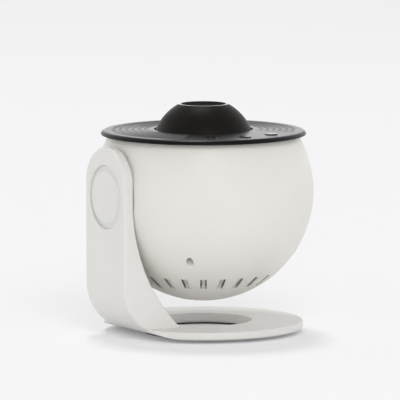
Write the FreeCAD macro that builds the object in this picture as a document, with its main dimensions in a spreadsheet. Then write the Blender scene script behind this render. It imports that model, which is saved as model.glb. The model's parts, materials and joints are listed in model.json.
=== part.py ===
import FreeCAD, Part
import math
import os
import Sketcher

# A home planetarium projector: a ball with a flat black cover and a focus dome, hung from one side
# of a C-shaped stand. Lengths are in millimetres, angles in degrees. The origin is on the table,
# under the ball's centre; +Z is up, the front is -Y and the stand's arm is on the -X side.
# Heights called "over the centre" are measured from the ball's centre.

doc = FreeCAD.newDocument("planetarium_projector")
sheet = doc.addObject("Spreadsheet::Sheet", "Sizes")

sizes = {
    # ball
    "ball_radius": 75.0,
    "ball_wall": 2.5,
    "cover_seat": 38.6,           # height of the ball's open rim over the centre
    "flat_cut": 5.4,              # depth of the flat on the arm side
    "pivot_pad": 4.0,             # wall behind that flat
    "touch_gap": 0.3,             # between pieces that move past each other
    "fit_gap": 0.08,              # radial play of running fits
    "press_gap": 0.02,            # radial play of pressed fits
    "laid_gap": 0.1,              # play of pieces that are laid in a seat
    # vents
    "vent_count": 24,
    "vent_width": 4.2,
    "vent_high": 47.0,            # latitude below the equator where a slot starts
    "vent_low": 57.0,
    "baffle_wall": 2.0,
    "baffle_lap": 2.5,            # degrees that the baffle reaches past the slots
    "baffle_rib": 3.4,            # width of a rib, in degrees about the axis
    "louvre_gap": 0.8,            # between a louvre and the sides of its slot
    "louvre_end": 0.1,            # the same at its ends, in degrees
    "louvre_inset": 1.2,          # louvre's face behind the ball's surface
    # stand
    "base_gap": 13.6,             # from the ball's lowest point to the base
    "base_thickness": 5.5,
    "base_radius": 68.0,
    "base_hole": 33.0,
    "base_edge": 1.2,
    "base_under_edge": 2.0,
    "plinth_inner": 35.0,
    "plinth_outer": 43.0,
    "plinth_height": 1.2,
    "plinth_wall": 1.8,
    "foot_height": 2.5,           # from the table to the base's underside
    "foot_depth": 1.0,            # how deep the foot ring sits in the plinth
    "arm_gap": 0.5,               # between the ball's flat and the arm
    "arm_thickness": 7.3,
    "arm_half_width": 27.0,
    "arm_top": 34.0,              # over the centre
    "arm_head_swell": 1.4,        # how far the head's round is wider than the arm
    "arm_shoulder": 20.0,         # radius between the arm's straight side and its head
    "bend_radius": 34.5,
    "inner_curve": 118.7,
    "inner_curve_start": 2.8,     # below the centre
    "arm_edge": 2.4,
    "arm_inner_edge": 1.2,
    "bend_root": 7.0,
    "ball_relief": 1.0,           # clearance between the ball and the dished arm
    # pivot
    "hub_radius": 9.0,
    "hub_flange": 17.0,
    "hub_flange_thickness": 2.5,
    "hub_screw_orbit": 13.0,
    "pocket_radius": 21.6,        # round pocket in the arm's outer face
    "pocket_bevel": 0.6,          # at the pocket's mouth
    "pocket_floor": 2.0,          # arm wall left under the pocket
    "friction_thickness": 0.5,
    "plate_thickness": 1.0,
    "plate_radius": 17.5,
    "cap_inset": 0.2,
    "cap_thickness": 1.6,
    "cap_skirt": 1.6,
    "cap_round": 4.0,             # width of the rounding at the cap's edge
    "cap_drop": 1.7,              # how far the rounding falls
    "pivot_screw_radius": 2.0,
    "pivot_screw_head": 3.6,
    "pivot_screw_head_height": 1.1,
    "pivot_screw_length": 6.0,
    # cover
    "cover_overhang": 5.7,        # past the ball's rim
    "rim_slope": 2.8,             # from the widest part in to the crease
    "rim_height": 3.15,
    "rim_belly": 0.8,
    "rim_tuck": 0.9,
    "cover_rise": 0.6,
    "cover_roof": 0.6,            # height of the cover's underside over its seat
    "skirt_wall": 2.0,
    "skirt_depth": 3.3,
    "recess_radius": 33.7,
    "recess_depth": 1.2,
    "ripple_count": 6,
    "ripple_inset": 3.6,          # from the recess out to the first ripple
    "ripple_margin": 3.8,         # from the last ripple out to the crease
    "ripple_depth": 0.45,
    "ripple_land": 0.06,
    "front_sector": 44.0,         # half angle of the smooth part of the cover
    # buttons
    "button_inset": 14.0,         # from the cover's edge in to the buttons
    "button_relief": 0.8,
    "button_angle": 25.0,
    "button_radius": 4.35,
    "button_gap": 0.15,
    "button_stand": 0.7,
    "button_flange": 0.7,
    "button_flange_height": 1.0,
    "button_stem": 1.6,
    "button_travel": 0.5,
    "button_edge": 0.5,
    # dome and lens
    "dome_gap": 0.9,              # between the dome's foot and the recess
    "dome_throat": 5.6,           # from the dome's top down to the guide's end
    "dome_ceiling": 6.2,          # from the dome's top down to the cavity around the sleeve
    "dome_bulge": 2.5,            # how far the dome's curve is wider than its foot
    "dome_land": 2.02,            # from the aperture out to the dome's shoulder
    "dome_wall": 2.0,
    "dome_lip": 0.5,
    "aperture_radius": 15.3,
    "sleeve_wall": 2.5,
    "sleeve_depth": 4.9,          # sleeve below the cover's recess floor
    "keeper_height": 1.2,
    "keeper_bite": 0.8,
    "keeper_width": 3.2,
    "barrel_radius": 14.8,
    "barrel_inset": 2.1,          # barrel's front face below the dome's top
    "barrel_length": 27.0,
    "guide_wall": 1.9,
    "guide_flange": 33.0,
    "guide_flange_thickness": 2.0,
    "guide_drop": 4.5,            # from the cover's underside to the guide's flange
    "guide_screw_orbit": 29.0,
    "pin_height": 46.0,           # over the centre
    "pin_radius": 1.0,
    "pin_root": 12.4,
    "pin_reach": 18.3,
    "pin_count": 3,
    "focus_lead": 9.0,            # lens travel for one turn of the dome
    "focus_turn": 55.0,           # the dome turns this far each way
    "lens_radius": 10.5,
    "lens_edge": 2.0,
    "lens_shoulder": 2.0,
    "front_lens_thickness": 5.6,
    "rear_lens_thickness": 4.6,
    "lens_spacing": 8.0,
    "lens_keeper": 2.0,
    "barrel_lip": 1.6,
    "step_rise": 1.7,
    "step_one": 11.6,
    "step_two": 10.1,
    # deck and star disc
    "deck_drop": 26.6,            # from the cover's seat to the deck's top
    "deck_thickness": 3.0,
    "deck_gap": 1.6,              # between the deck and the hub's screws
    "deck_bore": 22.08,
    "deck_boss": 3.2,
    "deck_boss_inset": 10.0,      # from the deck's edge
    "deck_rib": 2.0,
    "deck_rib_height": 5.0,
    "leg_offset": 2.0,            # past the deck's edge
    "leg_angle": 38.5,            # first leg, from the front towards the arm
    "leg_radius": 4.0,
    "leg_boss": 11.0,             # height of the ball's boss under a leg
    "boss_floor": 4.6,            # from the ball's inner wall up to the screw's seat
    "screw_recess": 2.6,
    "hub_journal": 22.0,
    "carrier_bore": 17.0,
    "carrier_depth": 5.0,         # journal below the deck's top
    "carrier_thickness": 3.3,
    "gear_module": 0.8,
    "carrier_teeth": 72,
    "pinion_teeth": 12,
    "disc_radius": 20.0,
    "disc_thickness": 1.0,
    "disc_seat_depth": 1.8,
    "ring_wall": 2.4,
    # motor
    "motor_width": 12.0,
    "motor_depth": 10.0,
    "gearbox_height": 9.0,
    "motor_can": 15.0,
    "shaft_radius": 1.5,
    "clamp_thickness": 1.6,
    "clamp_pillar": 2.8,
    "clamp_orbit": 9.8,
    # lamp
    "lamp_wall": 2.0,
    "lamp_collar": 24.6,
    "lamp_collar_depth": 4.2,
    "condenser_radius": 18.0,
    "condenser_edge": 2.0,
    "condenser_bulge": 5.0,
    "condenser_rim": 1.7,
    "condenser_gap": 0.3,
    "condenser_keeper": 1.7,
    "led_room": 3.8,              # from the lens clamp to the lamp's board
    "lamp_tube": 19.8,
    "lamp_ear": 3.2,
    "lamp_ear_orbit": 29.0,
    "lamp_boss": 2.8,
    "lamp_boss_orbit": 22.0,
    "led_board_radius": 14.0,
    "led_board_thickness": 1.6,
    "led_radius": 1.6,
    "led_base": 2.6,
    "sink_base": 3.0,
    "sink_radius": 25.0,
    "fin_radius": 19.0,
    "fin_gap": 6.9,               # between the fins and the cell
    "fin_thickness": 1.4,
    "fin_pitch": 4.2,
    # boards, port and battery
    "board_thickness": 1.6,
    "board_drop": 6.4,            # main board below the deck
    "board_half_width": 22.0,
    "board_front": 28.0,
    "board_inset": 15.0,          # from the ball's surface to the board's back
    "chip_half": 5.0,
    "coil_radius": 3.0,
    "port_tongue": 8.0,
    "tongue_inset": 7.0,
    "port_width": 9.0,
    "port_height": 3.2,
    "port_depth": 7.8,
    "port_inset": 0.9,            # mouth behind the ball's surface
    "port_wall": 0.35,
    "post_radius": 2.5,
    "button_board_inside": 9.5,   # from the buttons' circle in to the board's edge
    "button_board_outside": 5.5,
    "button_board_sector": 36.0,
    "button_board_drop": 6.4,
    "button_boss_inset": 6.0,
    "button_boss_angle": 32.5,
    "switch_size": 6.0,
    "switch_height": 1.8,
    "cell_radius": 9.1,
    "cell_length": 65.0,
    "cell_inset": 26.5,           # from the ball's inner wall up to the cell's middle
    "cradle_wall": 2.4,
    "cradle_post": 3.0,
    "cradle_ear_thickness": 2.5,
    "cradle_ear_orbit": 15.0,
    # screws
    "screw_head": 2.0,
    "screw_head_height": 1.5,
    "screw_shank": 1.15,
    "screw_bite": 7.0,            # depth of a screw hole
    "short_bite": 4.0,
}


class Measure:
    """A size or a sum of sizes: its value, and the spreadsheet expression that gives it."""

    def __init__(self, text, value):
        self.text = text
        self.value = value

    def __add__(self, other):
        return Measure(f"({self.text} + {measure(other).text})", self.value + measure(other).value)

    def __sub__(self, other):
        return Measure(f"({self.text} - {measure(other).text})", self.value - measure(other).value)

    def __mul__(self, other):
        return Measure(f"({self.text} * {measure(other).text})", self.value * measure(other).value)

    def __truediv__(self, other):
        return Measure(f"({self.text} / {measure(other).text})", self.value / measure(other).value)

    def __radd__(self, other):
        return measure(other) + self

    def __rsub__(self, other):
        return measure(other) - self

    def __rmul__(self, other):
        return measure(other) * self

    def __neg__(self):
        return measure(0) - self


def measure(amount):
    if isinstance(amount, Measure):
        return amount
    return Measure(f"({amount})", float(amount))


def root(amount):
    return Measure(f"sqrt({amount.text})", math.sqrt(amount.value))


def sine(angle):
    angle = measure(angle)
    return Measure(f"sin({angle.text})", math.sin(math.radians(angle.value)))


def cosine(angle):
    angle = measure(angle)
    return Measure(f"cos({angle.text})", math.cos(math.radians(angle.value)))


def side(slope, leg):
    """The other leg of a right triangle with this hypotenuse and leg."""
    return root(slope * slope - leg * leg)


class SizeNames:
    """size.name is the named cell of the spreadsheet as a Measure."""

    def __getattr__(self, name):
        return Measure(f"Sizes.{name}", float(sizes[name]))


for row, (alias, number) in enumerate(sizes.items(), start=1):
    sheet.set(f"A{row}", alias)
    sheet.set(f"B{row}", str(number))
    sheet.setAlias(f"B{row}", alias)
doc.recompute()
size = SizeNames()


# ---- sketching and features -------------------------------------------------------------------

def bind(thing, name, amount):
    thing.setExpression(name, measure(amount).text)


def origin_part(body, role):
    return next(item for item in body.Origin.OriginFeatures if item.Role == role)


def new_body(label, height=None):
    """A body whose own origin is the ball's centre."""
    body = doc.addObject("PartDesign::Body", label)
    body.Label = label
    bind(body, "Placement.Base.z", centre_height if height is None else height)
    return body


def new_sketch(body, plane, away):
    sketch = body.newObject("Sketcher::SketchObject", f"{body.Label}_sketch")
    sketch.AttachmentSupport = (origin_part(body, plane), [""])
    sketch.MapMode = "FlatFace"
    if away is not None:
        bind(sketch, "AttachmentOffset.Base.z", away)
    return sketch


def pin_point(sketch, line, end, x, y):
    """Hold one end of a line or arc, or a circle's centre, at x, y."""
    for kind, amount, axis in (("DistanceX", measure(x), -2), ("DistanceY", measure(y), -1)):
        if amount.text == "(0)":
            sketch.addConstraint(Sketcher.Constraint("PointOnObject", line, end, axis))
            continue
        number = sketch.addConstraint(
            Sketcher.Constraint(kind, -1, 1, line, end, amount.value))
        sketch.setExpression(f"Constraints[{number}]", amount.text)


def arc_between(start, end, radius):
    """The short arc from start to end; a positive radius turns left on the way."""
    middle = (start + end) * 0.5
    half = (end - start) * 0.5
    rise = math.sqrt(max(radius * radius - half.Length ** 2, 0.0))
    left = FreeCAD.Vector(-half.y, half.x, 0).normalize()
    centre = middle + left * math.copysign(rise, radius)
    first, last = (start, end) if radius > 0 else (end, start)
    angles = [math.atan2(point.y - centre.y, point.x - centre.x) for point in (first, last)]
    circle = Part.Circle(centre, FreeCAD.Vector(0, 0, 1), abs(radius))
    return Part.ArcOfCircle(circle, angles[0], angles[1])


def draw_loop(sketch, corners):
    """A closed loop. A corner's third value is the radius of the arc that reaches it."""
    points = [FreeCAD.Vector(measure(corner[0]).value, measure(corner[1]).value, 0)
              for corner in corners]
    ends = []
    for place, corner in enumerate(corners):
        before, here = points[place - 1], points[place]
        if len(corner) == 2:
            line = sketch.addGeometry(Part.LineSegment(before, here))
            ends.append((line, 1, 2))
            continue
        bend = measure(corner[2])
        line = sketch.addGeometry(arc_between(before, here, bend.value))
        number = sketch.addConstraint(Sketcher.Constraint("Radius", line, abs(bend.value)))
        sketch.setExpression(f"Constraints[{number}]", f"abs({bend.text})")
        ends.append((line, 1, 2) if bend.value > 0 else (line, 2, 1))
    for place, corner in enumerate(corners):
        line, first, last = ends[place]
        following, start, finish = ends[(place + 1) % len(ends)]
        sketch.addConstraint(Sketcher.Constraint("Coincident", line, last, following, start))
        pin_point(sketch, line, last, corner[0], corner[1])


def outline(body, plane, loops, away=None):
    sketch = new_sketch(body, plane, away)
    for corners in loops:
        draw_loop(sketch, corners)
    return sketch


def circles(body, plane, spots, away=None):
    """Circles given as x, y, radius."""
    sketch = new_sketch(body, plane, away)
    for x, y, radius in spots:
        radius = measure(radius)
        centre = FreeCAD.Vector(measure(x).value, measure(y).value, 0)
        ring = sketch.addGeometry(Part.Circle(centre, FreeCAD.Vector(0, 0, 1), radius.value))
        number = sketch.addConstraint(Sketcher.Constraint("Radius", ring, radius.value))
        sketch.setExpression(f"Constraints[{number}]", radius.text)
        pin_point(sketch, ring, 3, x, y)
    return sketch


def block(x, y, half_x, half_y):
    """Corners of a rectangle about x, y."""
    return [(x - half_x, y - half_y), (x + half_x, y - half_y),
            (x + half_x, y + half_y), (x - half_x, y + half_y)]


def feature(kind, body, sketch):
    made = body.newObject(f"PartDesign::{kind}", f"{body.Label}_{kind.lower()}")
    made.Profile = sketch
    return made


def pad(body, sketch, length, both_ways=False, backwards=False):
    made = feature("Pad", body, sketch)
    made.SideType = "Symmetric" if both_ways else "One side"
    made.Reversed = backwards
    bind(made, "Length", length)
    return made


def pad_to_wall(body, sketch, backwards=True):
    made = feature("Pad", body, sketch)
    made.Type = "UpToFirst"
    made.Reversed = backwards
    return made


def pocket(body, sketch, length, both_ways=False, backwards=False):
    made = feature("Pocket", body, sketch)
    made.SideType = "Symmetric" if both_ways else "One side"
    made.Reversed = backwards
    bind(made, "Length", length)
    return made


def turn(body, sketch, kind="Revolution", axis="V_Axis", angle=360):
    made = feature(kind, body, sketch)
    made.ReferenceAxis = (sketch, [axis])
    made.Midplane = True
    bind(made, "Angle", angle)
    return made


def repeat(body, originals, count, axis="Z_Axis"):
    made = body.newObject("PartDesign::PolarPattern", f"{body.Label}_pattern")
    made.Originals = originals
    made.Axis = (origin_part(body, axis), [""])
    made.Angle = 360
    bind(made, "Occurrences", count)
    body.Tip = made
    return made


def soften(body, chosen, radius):
    """Round the edges of the body's last feature that chosen() accepts."""
    doc.recompute()
    base = body.Tip
    names = [f"Edge{place}" for place, edge in enumerate(base.Shape.Edges, start=1) if chosen(edge)]
    made = body.newObject("PartDesign::Fillet", f"{body.Label}_fillet")
    made.Base = (base, names)
    bind(made, "Radius", radius)
    return made


def turned(label, corners, axis="V_Axis"):
    """A piece turned on the vertical axis, or with H_Axis on the pivot axis."""
    body = new_body(label)
    turn(body, outline(body, "XZ_Plane", [corners]), axis=axis)
    return body


def ring(inner, outer, low, high):
    """Section of a plain ring."""
    return [(inner, low), (outer, low), (outer, high), (inner, high)]


def screws(label, spots, seat, length, plane="XY_Plane", heads_up=True, head=None, shank=None):
    """A set of equal screws: heads on the seat, shanks through it."""
    head = size.screw_head if head is None else head
    shank = size.screw_shank if shank is None else shank
    body = new_body(label)
    shanks = circles(body, plane, [(x, y, shank) for x, y in spots], seat)
    pad(body, shanks, length, backwards=heads_up)
    heads = circles(body, plane, [(x, y, head) for x, y in spots], seat)
    pad(body, heads, size.screw_head_height, backwards=not heads_up)
    return body


def around(orbit, angles):
    """Points on a circle, at angles counted from +X."""
    return [(orbit * cosine(angle), orbit * sine(angle)) for angle in angles]


def holes(body, spots, radius, start, depth, plane="XY_Plane", upwards=False):
    sketch = circles(body, plane, [(x, y, radius) for x, y in spots], start)
    return pocket(body, sketch, depth, backwards=upwards)


# ---- heights and places that several pieces share ---------------------------------------------

centre_height = size.ball_radius + size.base_gap + size.base_thickness + size.foot_height
base_top = -(size.ball_radius + size.base_gap)
base_bottom = base_top - size.base_thickness
table = base_bottom - size.foot_height

pivot_flat = size.ball_radius - size.flat_cut
flat_radius = side(size.ball_radius, pivot_flat)
arm_inner = pivot_flat + size.arm_gap
arm_outer = arm_inner + size.arm_thickness
pocket_floor = arm_inner + size.pocket_floor
hub_end = pocket_floor + size.friction_thickness
plate_face = hub_end + size.plate_thickness
hub_seat = pivot_flat - size.pivot_pad

inner_radius = size.ball_radius - size.ball_wall
ceiling = size.cover_seat + size.cover_roof
cover_radius = side(size.ball_radius, size.cover_seat) + size.cover_overhang
crease = cover_radius - size.rim_slope
crease_height = size.cover_seat + size.rim_height
crown = crease_height + size.cover_rise
recess_floor = crown - size.recess_depth
slope = size.cover_rise / (crease - size.recess_radius)
ripple_start = size.recess_radius + size.ripple_inset
ripple_pitch = (crease - ripple_start - size.ripple_margin) / size.ripple_count
button_orbit = cover_radius - size.button_inset
button_boss_orbit = button_orbit - size.button_boss_inset

dome_bottom = recess_floor + size.touch_gap
dome_base_radius = size.recess_radius - size.dome_gap
dome_curve = dome_base_radius + size.dome_bulge
dome_middle = dome_bottom - side(dome_curve, dome_base_radius)
dome_shoulder = dome_middle + side(dome_curve, size.aperture_radius + size.dome_land)
dome_top = dome_shoulder + size.dome_lip
dome_inner = dome_curve - size.dome_wall

guide_bore = size.barrel_radius + size.fit_gap
guide_outer = guide_bore + size.guide_wall
guide_seat = ceiling - size.guide_drop
sleeve_bore = guide_outer + size.fit_gap
sleeve_outer = sleeve_bore + size.sleeve_wall
sleeve_bottom = recess_floor - size.sleeve_depth
guide_top = dome_top - size.dome_throat
barrel_top = dome_top - size.barrel_inset
barrel_bottom = barrel_top - size.barrel_length
lens_bore = size.lens_radius + size.laid_gap / 2

deck_top = size.cover_seat - size.deck_drop
deck_under = deck_top - size.deck_thickness
deck_radius = (hub_seat - size.hub_flange_thickness - size.screw_head_height
               - size.deck_gap)
deck_boss_orbit = deck_radius - size.deck_boss_inset
leg_orbit = deck_radius + size.leg_offset
screw_seat = side(inner_radius, leg_orbit) - size.boss_floor
leg_foot = screw_seat - size.leg_boss
gear_low = deck_top + size.touch_gap
gear_high = gear_low + size.carrier_thickness
disc_seat = gear_high - size.disc_seat_depth
motor_reach = (size.carrier_teeth + size.pinion_teeth) * size.gear_module / 2
gearbox_low = deck_under - size.gearbox_height

condenser_top = deck_under - size.lamp_collar_depth - size.lamp_wall
upper_rim = condenser_top - size.condenser_edge
lower_rim = upper_rim - 2 * size.condenser_bulge - size.condenser_gap
lower_flat = lower_rim - size.condenser_edge
lamp_end = lower_flat - size.condenser_keeper - size.led_room
board_low = deck_under - size.board_drop - size.board_thickness
board_back = size.ball_radius - size.board_inset
port_reach = size.ball_radius - size.tongue_inset

board_under_cover = ceiling - size.button_board_drop
switch_top = board_under_cover + size.switch_height
cell_height = inner_radius - size.cell_inset
cradle_bottom = -(cell_height + size.cell_radius + size.cradle_wall)

# Angles are counted from +X, so the front is -90.
leg_angles = [-90 - size.leg_angle + quarter * 90 for quarter in range(4)]
deck_angles = [-135, -45, 45, 135]
guide_angles = [-90, 30, 150]
lamp_angles = [60, 180, 300]
sink_angles = [0, 120, 240]
button_angles = {"timer_button": -90 - size.button_angle, "power_button": measure(-90),
                 "rotation_button": -90 + size.button_angle}
board_screw_angles = [-90 - size.button_boss_angle, -90 + size.button_boss_angle]
board_across = size.board_half_width - 5
board_spots = [(board_across, size.board_front + 4), (-board_across, size.board_front + 4),
               (board_across, board_back - 6), (-board_across, board_back - 6)]
cradle_spots = [(0, size.cradle_ear_orbit), (0, -size.cradle_ear_orbit)]
clamp_spots = [(motor_reach, size.clamp_orbit), (motor_reach, -size.clamp_orbit)]
hub_spots = around(size.hub_screw_orbit, [90, 210, 330])


# ---- stand ------------------------------------------------------------------------------------

def make_stand_bracket():
    body = new_body("stand_bracket")
    width = size.arm_half_width
    curve, blend = size.inner_curve, size.bend_root
    curve_x, curve_z = curve - arm_inner, -size.inner_curve_start
    blend_z = base_top + blend
    blend_x = curve_x - side(curve - blend, curve_z - blend_z)
    meet_x = curve_x + (blend_x - curve_x) * curve / (curve - blend)
    meet_z = curve_z + (blend_z - curve_z) * curve / (curve - blend)
    bend_x = -(arm_outer - size.bend_radius)
    bend_z = base_bottom + size.bend_radius
    pad(body, outline(body, "XZ_Plane", [[
        (-arm_outer, size.arm_top),
        (-arm_outer, bend_z),
        (bend_x, base_bottom, size.bend_radius),
        (blend_x + 3, base_bottom),
        (blend_x + 3, base_top),
        (blend_x, base_top),
        (meet_x, meet_z, -blend),
        (-arm_inner, curve_z, -curve),
        (-arm_inner, size.arm_top)]]), 2 * width, both_ways=True)
    head_radius = width + size.arm_head_swell
    head_middle = size.arm_top - head_radius
    swing = size.arm_shoulder
    rise = side(head_radius - swing, width - swing)
    shoulder = head_middle + rise
    reach = head_radius / (head_radius - swing)
    join_y, join_z = (width - swing) * reach, head_middle + rise * reach
    spare = 5
    pocket(body, outline(body, "YZ_Plane", [[
        (-width - spare, shoulder),
        (-width, shoulder),
        (-join_y, join_z, -swing),
        (join_y, join_z, -head_radius),
        (width, shoulder, -swing),
        (width + spare, shoulder),
        (width + spare, size.arm_top + spare),
        (-width - spare, size.arm_top + spare)]]), 4 * arm_outer, both_ways=True)

    def on_face(edge, x):
        return all(abs(point.x - x.value) < 0.01 for point in edge.discretize(5))

    soften(body, lambda edge: on_face(edge, -arm_outer) and not runs_across(edge),
           size.arm_edge)
    soften(body, lambda edge: on_face(edge, -arm_inner) and not runs_across(edge),
           size.arm_inner_edge)

    disc = size.base_radius
    pad(body, circles(body, "XY_Plane", [(0, 0, disc)], base_bottom), size.base_thickness)

    def on_rim(edge, z):
        return all(abs(point.z - z.value) < 0.01
                   and abs(math.hypot(point.x, point.y) - disc.value) < 0.01
                   for point in edge.discretize(5))

    soften(body, lambda edge: on_rim(edge, base_top), size.base_edge)
    soften(body, lambda edge: on_rim(edge, base_bottom), size.base_under_edge)
    pocket(body, outline(body, "XZ_Plane", [[
        (bend_x, base_bottom),
        (-arm_outer, bend_z, -size.bend_radius),
        (-arm_outer, base_bottom)]]), 2 * disc, both_ways=True)

    low = base_bottom - size.plinth_height
    groove_floor = low + size.foot_depth
    turn(body, outline(body, "XZ_Plane", [[
        (size.plinth_inner, base_bottom + 2),
        (size.plinth_inner, low),
        (size.plinth_inner + size.plinth_wall, low),
        (size.plinth_inner + size.plinth_wall, groove_floor),
        (size.plinth_outer - size.plinth_wall, groove_floor),
        (size.plinth_outer - size.plinth_wall, low),
        (size.plinth_outer, low),
        (size.plinth_outer, base_bottom + 2)]]))
    pocket(body, circles(body, "XY_Plane", [(0, 0, size.base_hole)]), 2 * size.ball_radius)
    dish = size.ball_radius + size.ball_relief
    turn(body, outline(body, "XZ_Plane", [[
        (-arm_inner, 0),
        (0, 0),
        (dish, 0),
        (0, dish, dish),
        (-arm_inner, side(dish, arm_inner), dish)]]), "Groove", "H_Axis")
    bore = size.hub_radius + size.fit_gap
    turn(body, outline(body, "XZ_Plane", [[
        (-(arm_outer + 1), 0),
        (-(arm_inner - 1), 0),
        (-(arm_inner - 1), bore),
        (-pocket_floor, bore),
        (-pocket_floor, size.pocket_radius),
        (-(arm_outer - size.pocket_bevel), size.pocket_radius),
        (-(arm_outer + 1), size.pocket_radius + size.pocket_bevel + 1)]]), "Groove", "H_Axis")
    return body


def runs_across(edge):
    """True for a level edge from side to side of the arm."""
    first, last = edge.discretize(2)
    return abs(first.z - last.z) < 0.01 and edge.Curve.TypeId == "Part::GeomLine"


def make_foot_ring():
    low = table
    high = base_bottom - size.plinth_height + size.foot_depth
    inner = size.plinth_inner + size.plinth_wall + size.laid_gap
    outer = size.plinth_outer - size.plinth_wall - size.laid_gap
    return turned("foot_ring", ring(inner, outer, low, high))


def make_pivot_cap():
    outer = size.pocket_radius - size.laid_gap
    face = arm_outer - size.cap_inset
    back = face - size.cap_thickness
    width, drop = size.cap_round, size.cap_drop
    rounding = (width * width + drop * drop) / (2 * drop)
    return turned("pivot_cap", [
        (-back, 0), (-face, 0),
        (-face, outer - width), (-(face - drop), outer, rounding),
        (-pocket_floor, outer), (-pocket_floor, outer - size.cap_skirt),
        (-back, outer - size.cap_skirt)], "H_Axis")


def make_pivot_parts():
    shank = size.pivot_screw_radius
    hole = shank + size.laid_gap
    screw_end = hub_end - size.pivot_screw_length
    turned("tilt_hub", [
        (-(hub_seat - size.hub_flange_thickness), 0),
        (-(hub_seat - size.hub_flange_thickness), size.hub_flange),
        (-hub_seat, size.hub_flange),
        (-hub_seat, size.hub_radius),
        (-hub_end, size.hub_radius),
        (-hub_end, hole),
        (-screw_end, hole),
        (-screw_end, 0)], "H_Axis")
    hub = doc.getObject("tilt_hub")
    holes(hub, hub_spots, size.screw_shank + size.laid_gap, -hub_seat,
          size.hub_flange_thickness + 1, "YZ_Plane", upwards=True)
    turned("thrust_washer", ring_across(size.hub_radius + size.laid_gap, size.hub_flange + 3,
                                        pivot_flat, arm_inner), "H_Axis")
    turned("friction_washer", ring_across(size.hub_radius + size.laid_gap, size.plate_radius,
                                          pocket_floor, hub_end), "H_Axis")
    turned("pivot_plate", ring_across(hole, size.plate_radius, hub_end, plate_face), "H_Axis")
    turned("pivot_screw", [
        (-(screw_end + 0.5), 0), (-(screw_end + 0.5), shank),
        (-plate_face, shank), (-plate_face, size.pivot_screw_head),
        (-(plate_face + size.pivot_screw_head_height), size.pivot_screw_head),
        (-(plate_face + size.pivot_screw_head_height), 0)], "H_Axis")
    screws("hub_screws", hub_spots, -(hub_seat - size.hub_flange_thickness),
           size.hub_flange_thickness + size.pivot_pad - 1, "YZ_Plane")


def ring_across(inner, outer, near, far):
    """Section of a ring about the pivot axis, on the arm side."""
    return [(-near, inner), (-near, outer), (-far, outer), (-far, inner)]


# ---- ball -------------------------------------------------------------------------------------

def make_lower_shell():
    body = new_body("lower_shell")
    outer, inner, seat = size.ball_radius, inner_radius, size.cover_seat
    turn(body, outline(body, "XZ_Plane", [[
        (0, -outer), (outer, 0, outer), (side(outer, seat), seat, outer),
        (side(inner, seat), seat), (inner, 0, -inner), (0, -inner, -inner)]]))
    pocket(body, circles(body, "YZ_Plane", [(0, 0, flat_radius + 5)], -pivot_flat), 20)
    pad(body, circles(body, "YZ_Plane", [(0, 0, flat_radius - 0.3)], -pivot_flat),
        size.pivot_pad)

    legs = around(leg_orbit, leg_angles)
    boss = circles(body, "XY_Plane", [(*legs[0], size.leg_radius)], -leg_foot)
    repeat(body, [pad_to_wall(body, boss)], 4)
    posts = circles(body, "XY_Plane", [(x, y, size.cradle_post) for x, y in cradle_spots],
                    cradle_bottom)
    pad_to_wall(body, posts)
    recess = holes(body, legs[:1], size.screw_recess, -screw_seat, size.ball_radius)
    shaft = holes(body, legs[:1], size.screw_shank + size.laid_gap, -leg_foot + 1, 20)
    repeat(body, [recess, shaft], 4)
    holes(body, cradle_spots, size.screw_shank + size.laid_gap, cradle_bottom, 6)
    holes(body, hub_spots, size.screw_shank + size.laid_gap, -hub_seat, size.pivot_pad - 0.8,
          "YZ_Plane")
    holes(body, [(0, 0)], size.hub_radius + size.laid_gap, -hub_seat + 1, 20, "YZ_Plane")

    vent = outline(body, "YZ_Plane", [slot_section(inner - 2, outer + 3,
                                                   size.vent_high, size.vent_low)])
    repeat(body, [pocket(body, vent, size.vent_width, both_ways=True)], size.vent_count)

    middle = board_low + size.board_thickness + size.port_height / 2
    straight = (size.port_width - size.port_height) / 2
    high = size.port_height / 2 + 0.4
    port = outline(body, "XZ_Plane", [stadium(0, middle, straight, high)], -(inner - 6))
    pocket(body, port, 20)
    return body


def stadium(x, y, straight, high):
    """Corners of a slot with round ends."""
    return [(x - straight, y - high), (x + straight, y - high),
            (x + straight + high, y, high), (x + straight, y + high, high),
            (x - straight, y + high), (x - straight - high, y, high),
            (x - straight, y - high, high)][1:]


def slot_section(inside, outside, high, low):
    """Section between two radii and two latitudes below the equator."""
    return [(inside * cosine(low), -inside * sine(low)),
            (outside * cosine(low), -outside * sine(low)),
            (outside * cosine(high), -outside * sine(high)),
            (inside * cosine(high), -inside * sine(high))]


def make_vent_baffle():
    body = new_body("vent_baffle")
    outer = inner_radius - size.laid_gap
    inner = outer - size.baffle_wall
    high, low = size.vent_high - size.baffle_lap, size.vent_low + size.baffle_lap
    turn(body, outline(body, "YZ_Plane", [[
        (outer * cosine(low), -outer * sine(low)),
        (outer * cosine(high), -outer * sine(high)),
        (inner * cosine(high), -inner * sine(high)),
        (inner * cosine(low), -inner * sine(low))]]))
    window = outline(body, "YZ_Plane", [slot_section(inner - 3, outer + 3,
                                                     size.vent_high, size.vent_low)])
    open_angle = measure(360) / size.vent_count - size.baffle_rib
    repeat(body, [turn(body, window, "Groove", angle=open_angle)], size.vent_count)
    half_step = measure(180) / size.vent_count
    louvre = outline(body, "YZ_Plane", [slot_section(
        inner + size.baffle_wall / 2, size.ball_radius - size.louvre_inset,
        size.vent_high + size.louvre_end, size.vent_low - size.louvre_end)])
    louvre.AttachmentOffset = FreeCAD.Placement(
        FreeCAD.Vector(), FreeCAD.Rotation(FreeCAD.Vector(0, 1, 0), half_step.value))
    bind(louvre, "AttachmentOffset.Rotation.Angle", half_step)
    width = size.vent_width - 2 * size.louvre_gap
    repeat(body, [pad(body, louvre, width, both_ways=True)], size.vent_count)
    bind(body, "Placement.Rotation.Angle", half_step)
    return body


def cover_height(radius):
    """Height of the cover's gently sloping top at this radius."""
    return crown - (radius - size.recess_radius) * slope


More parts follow.
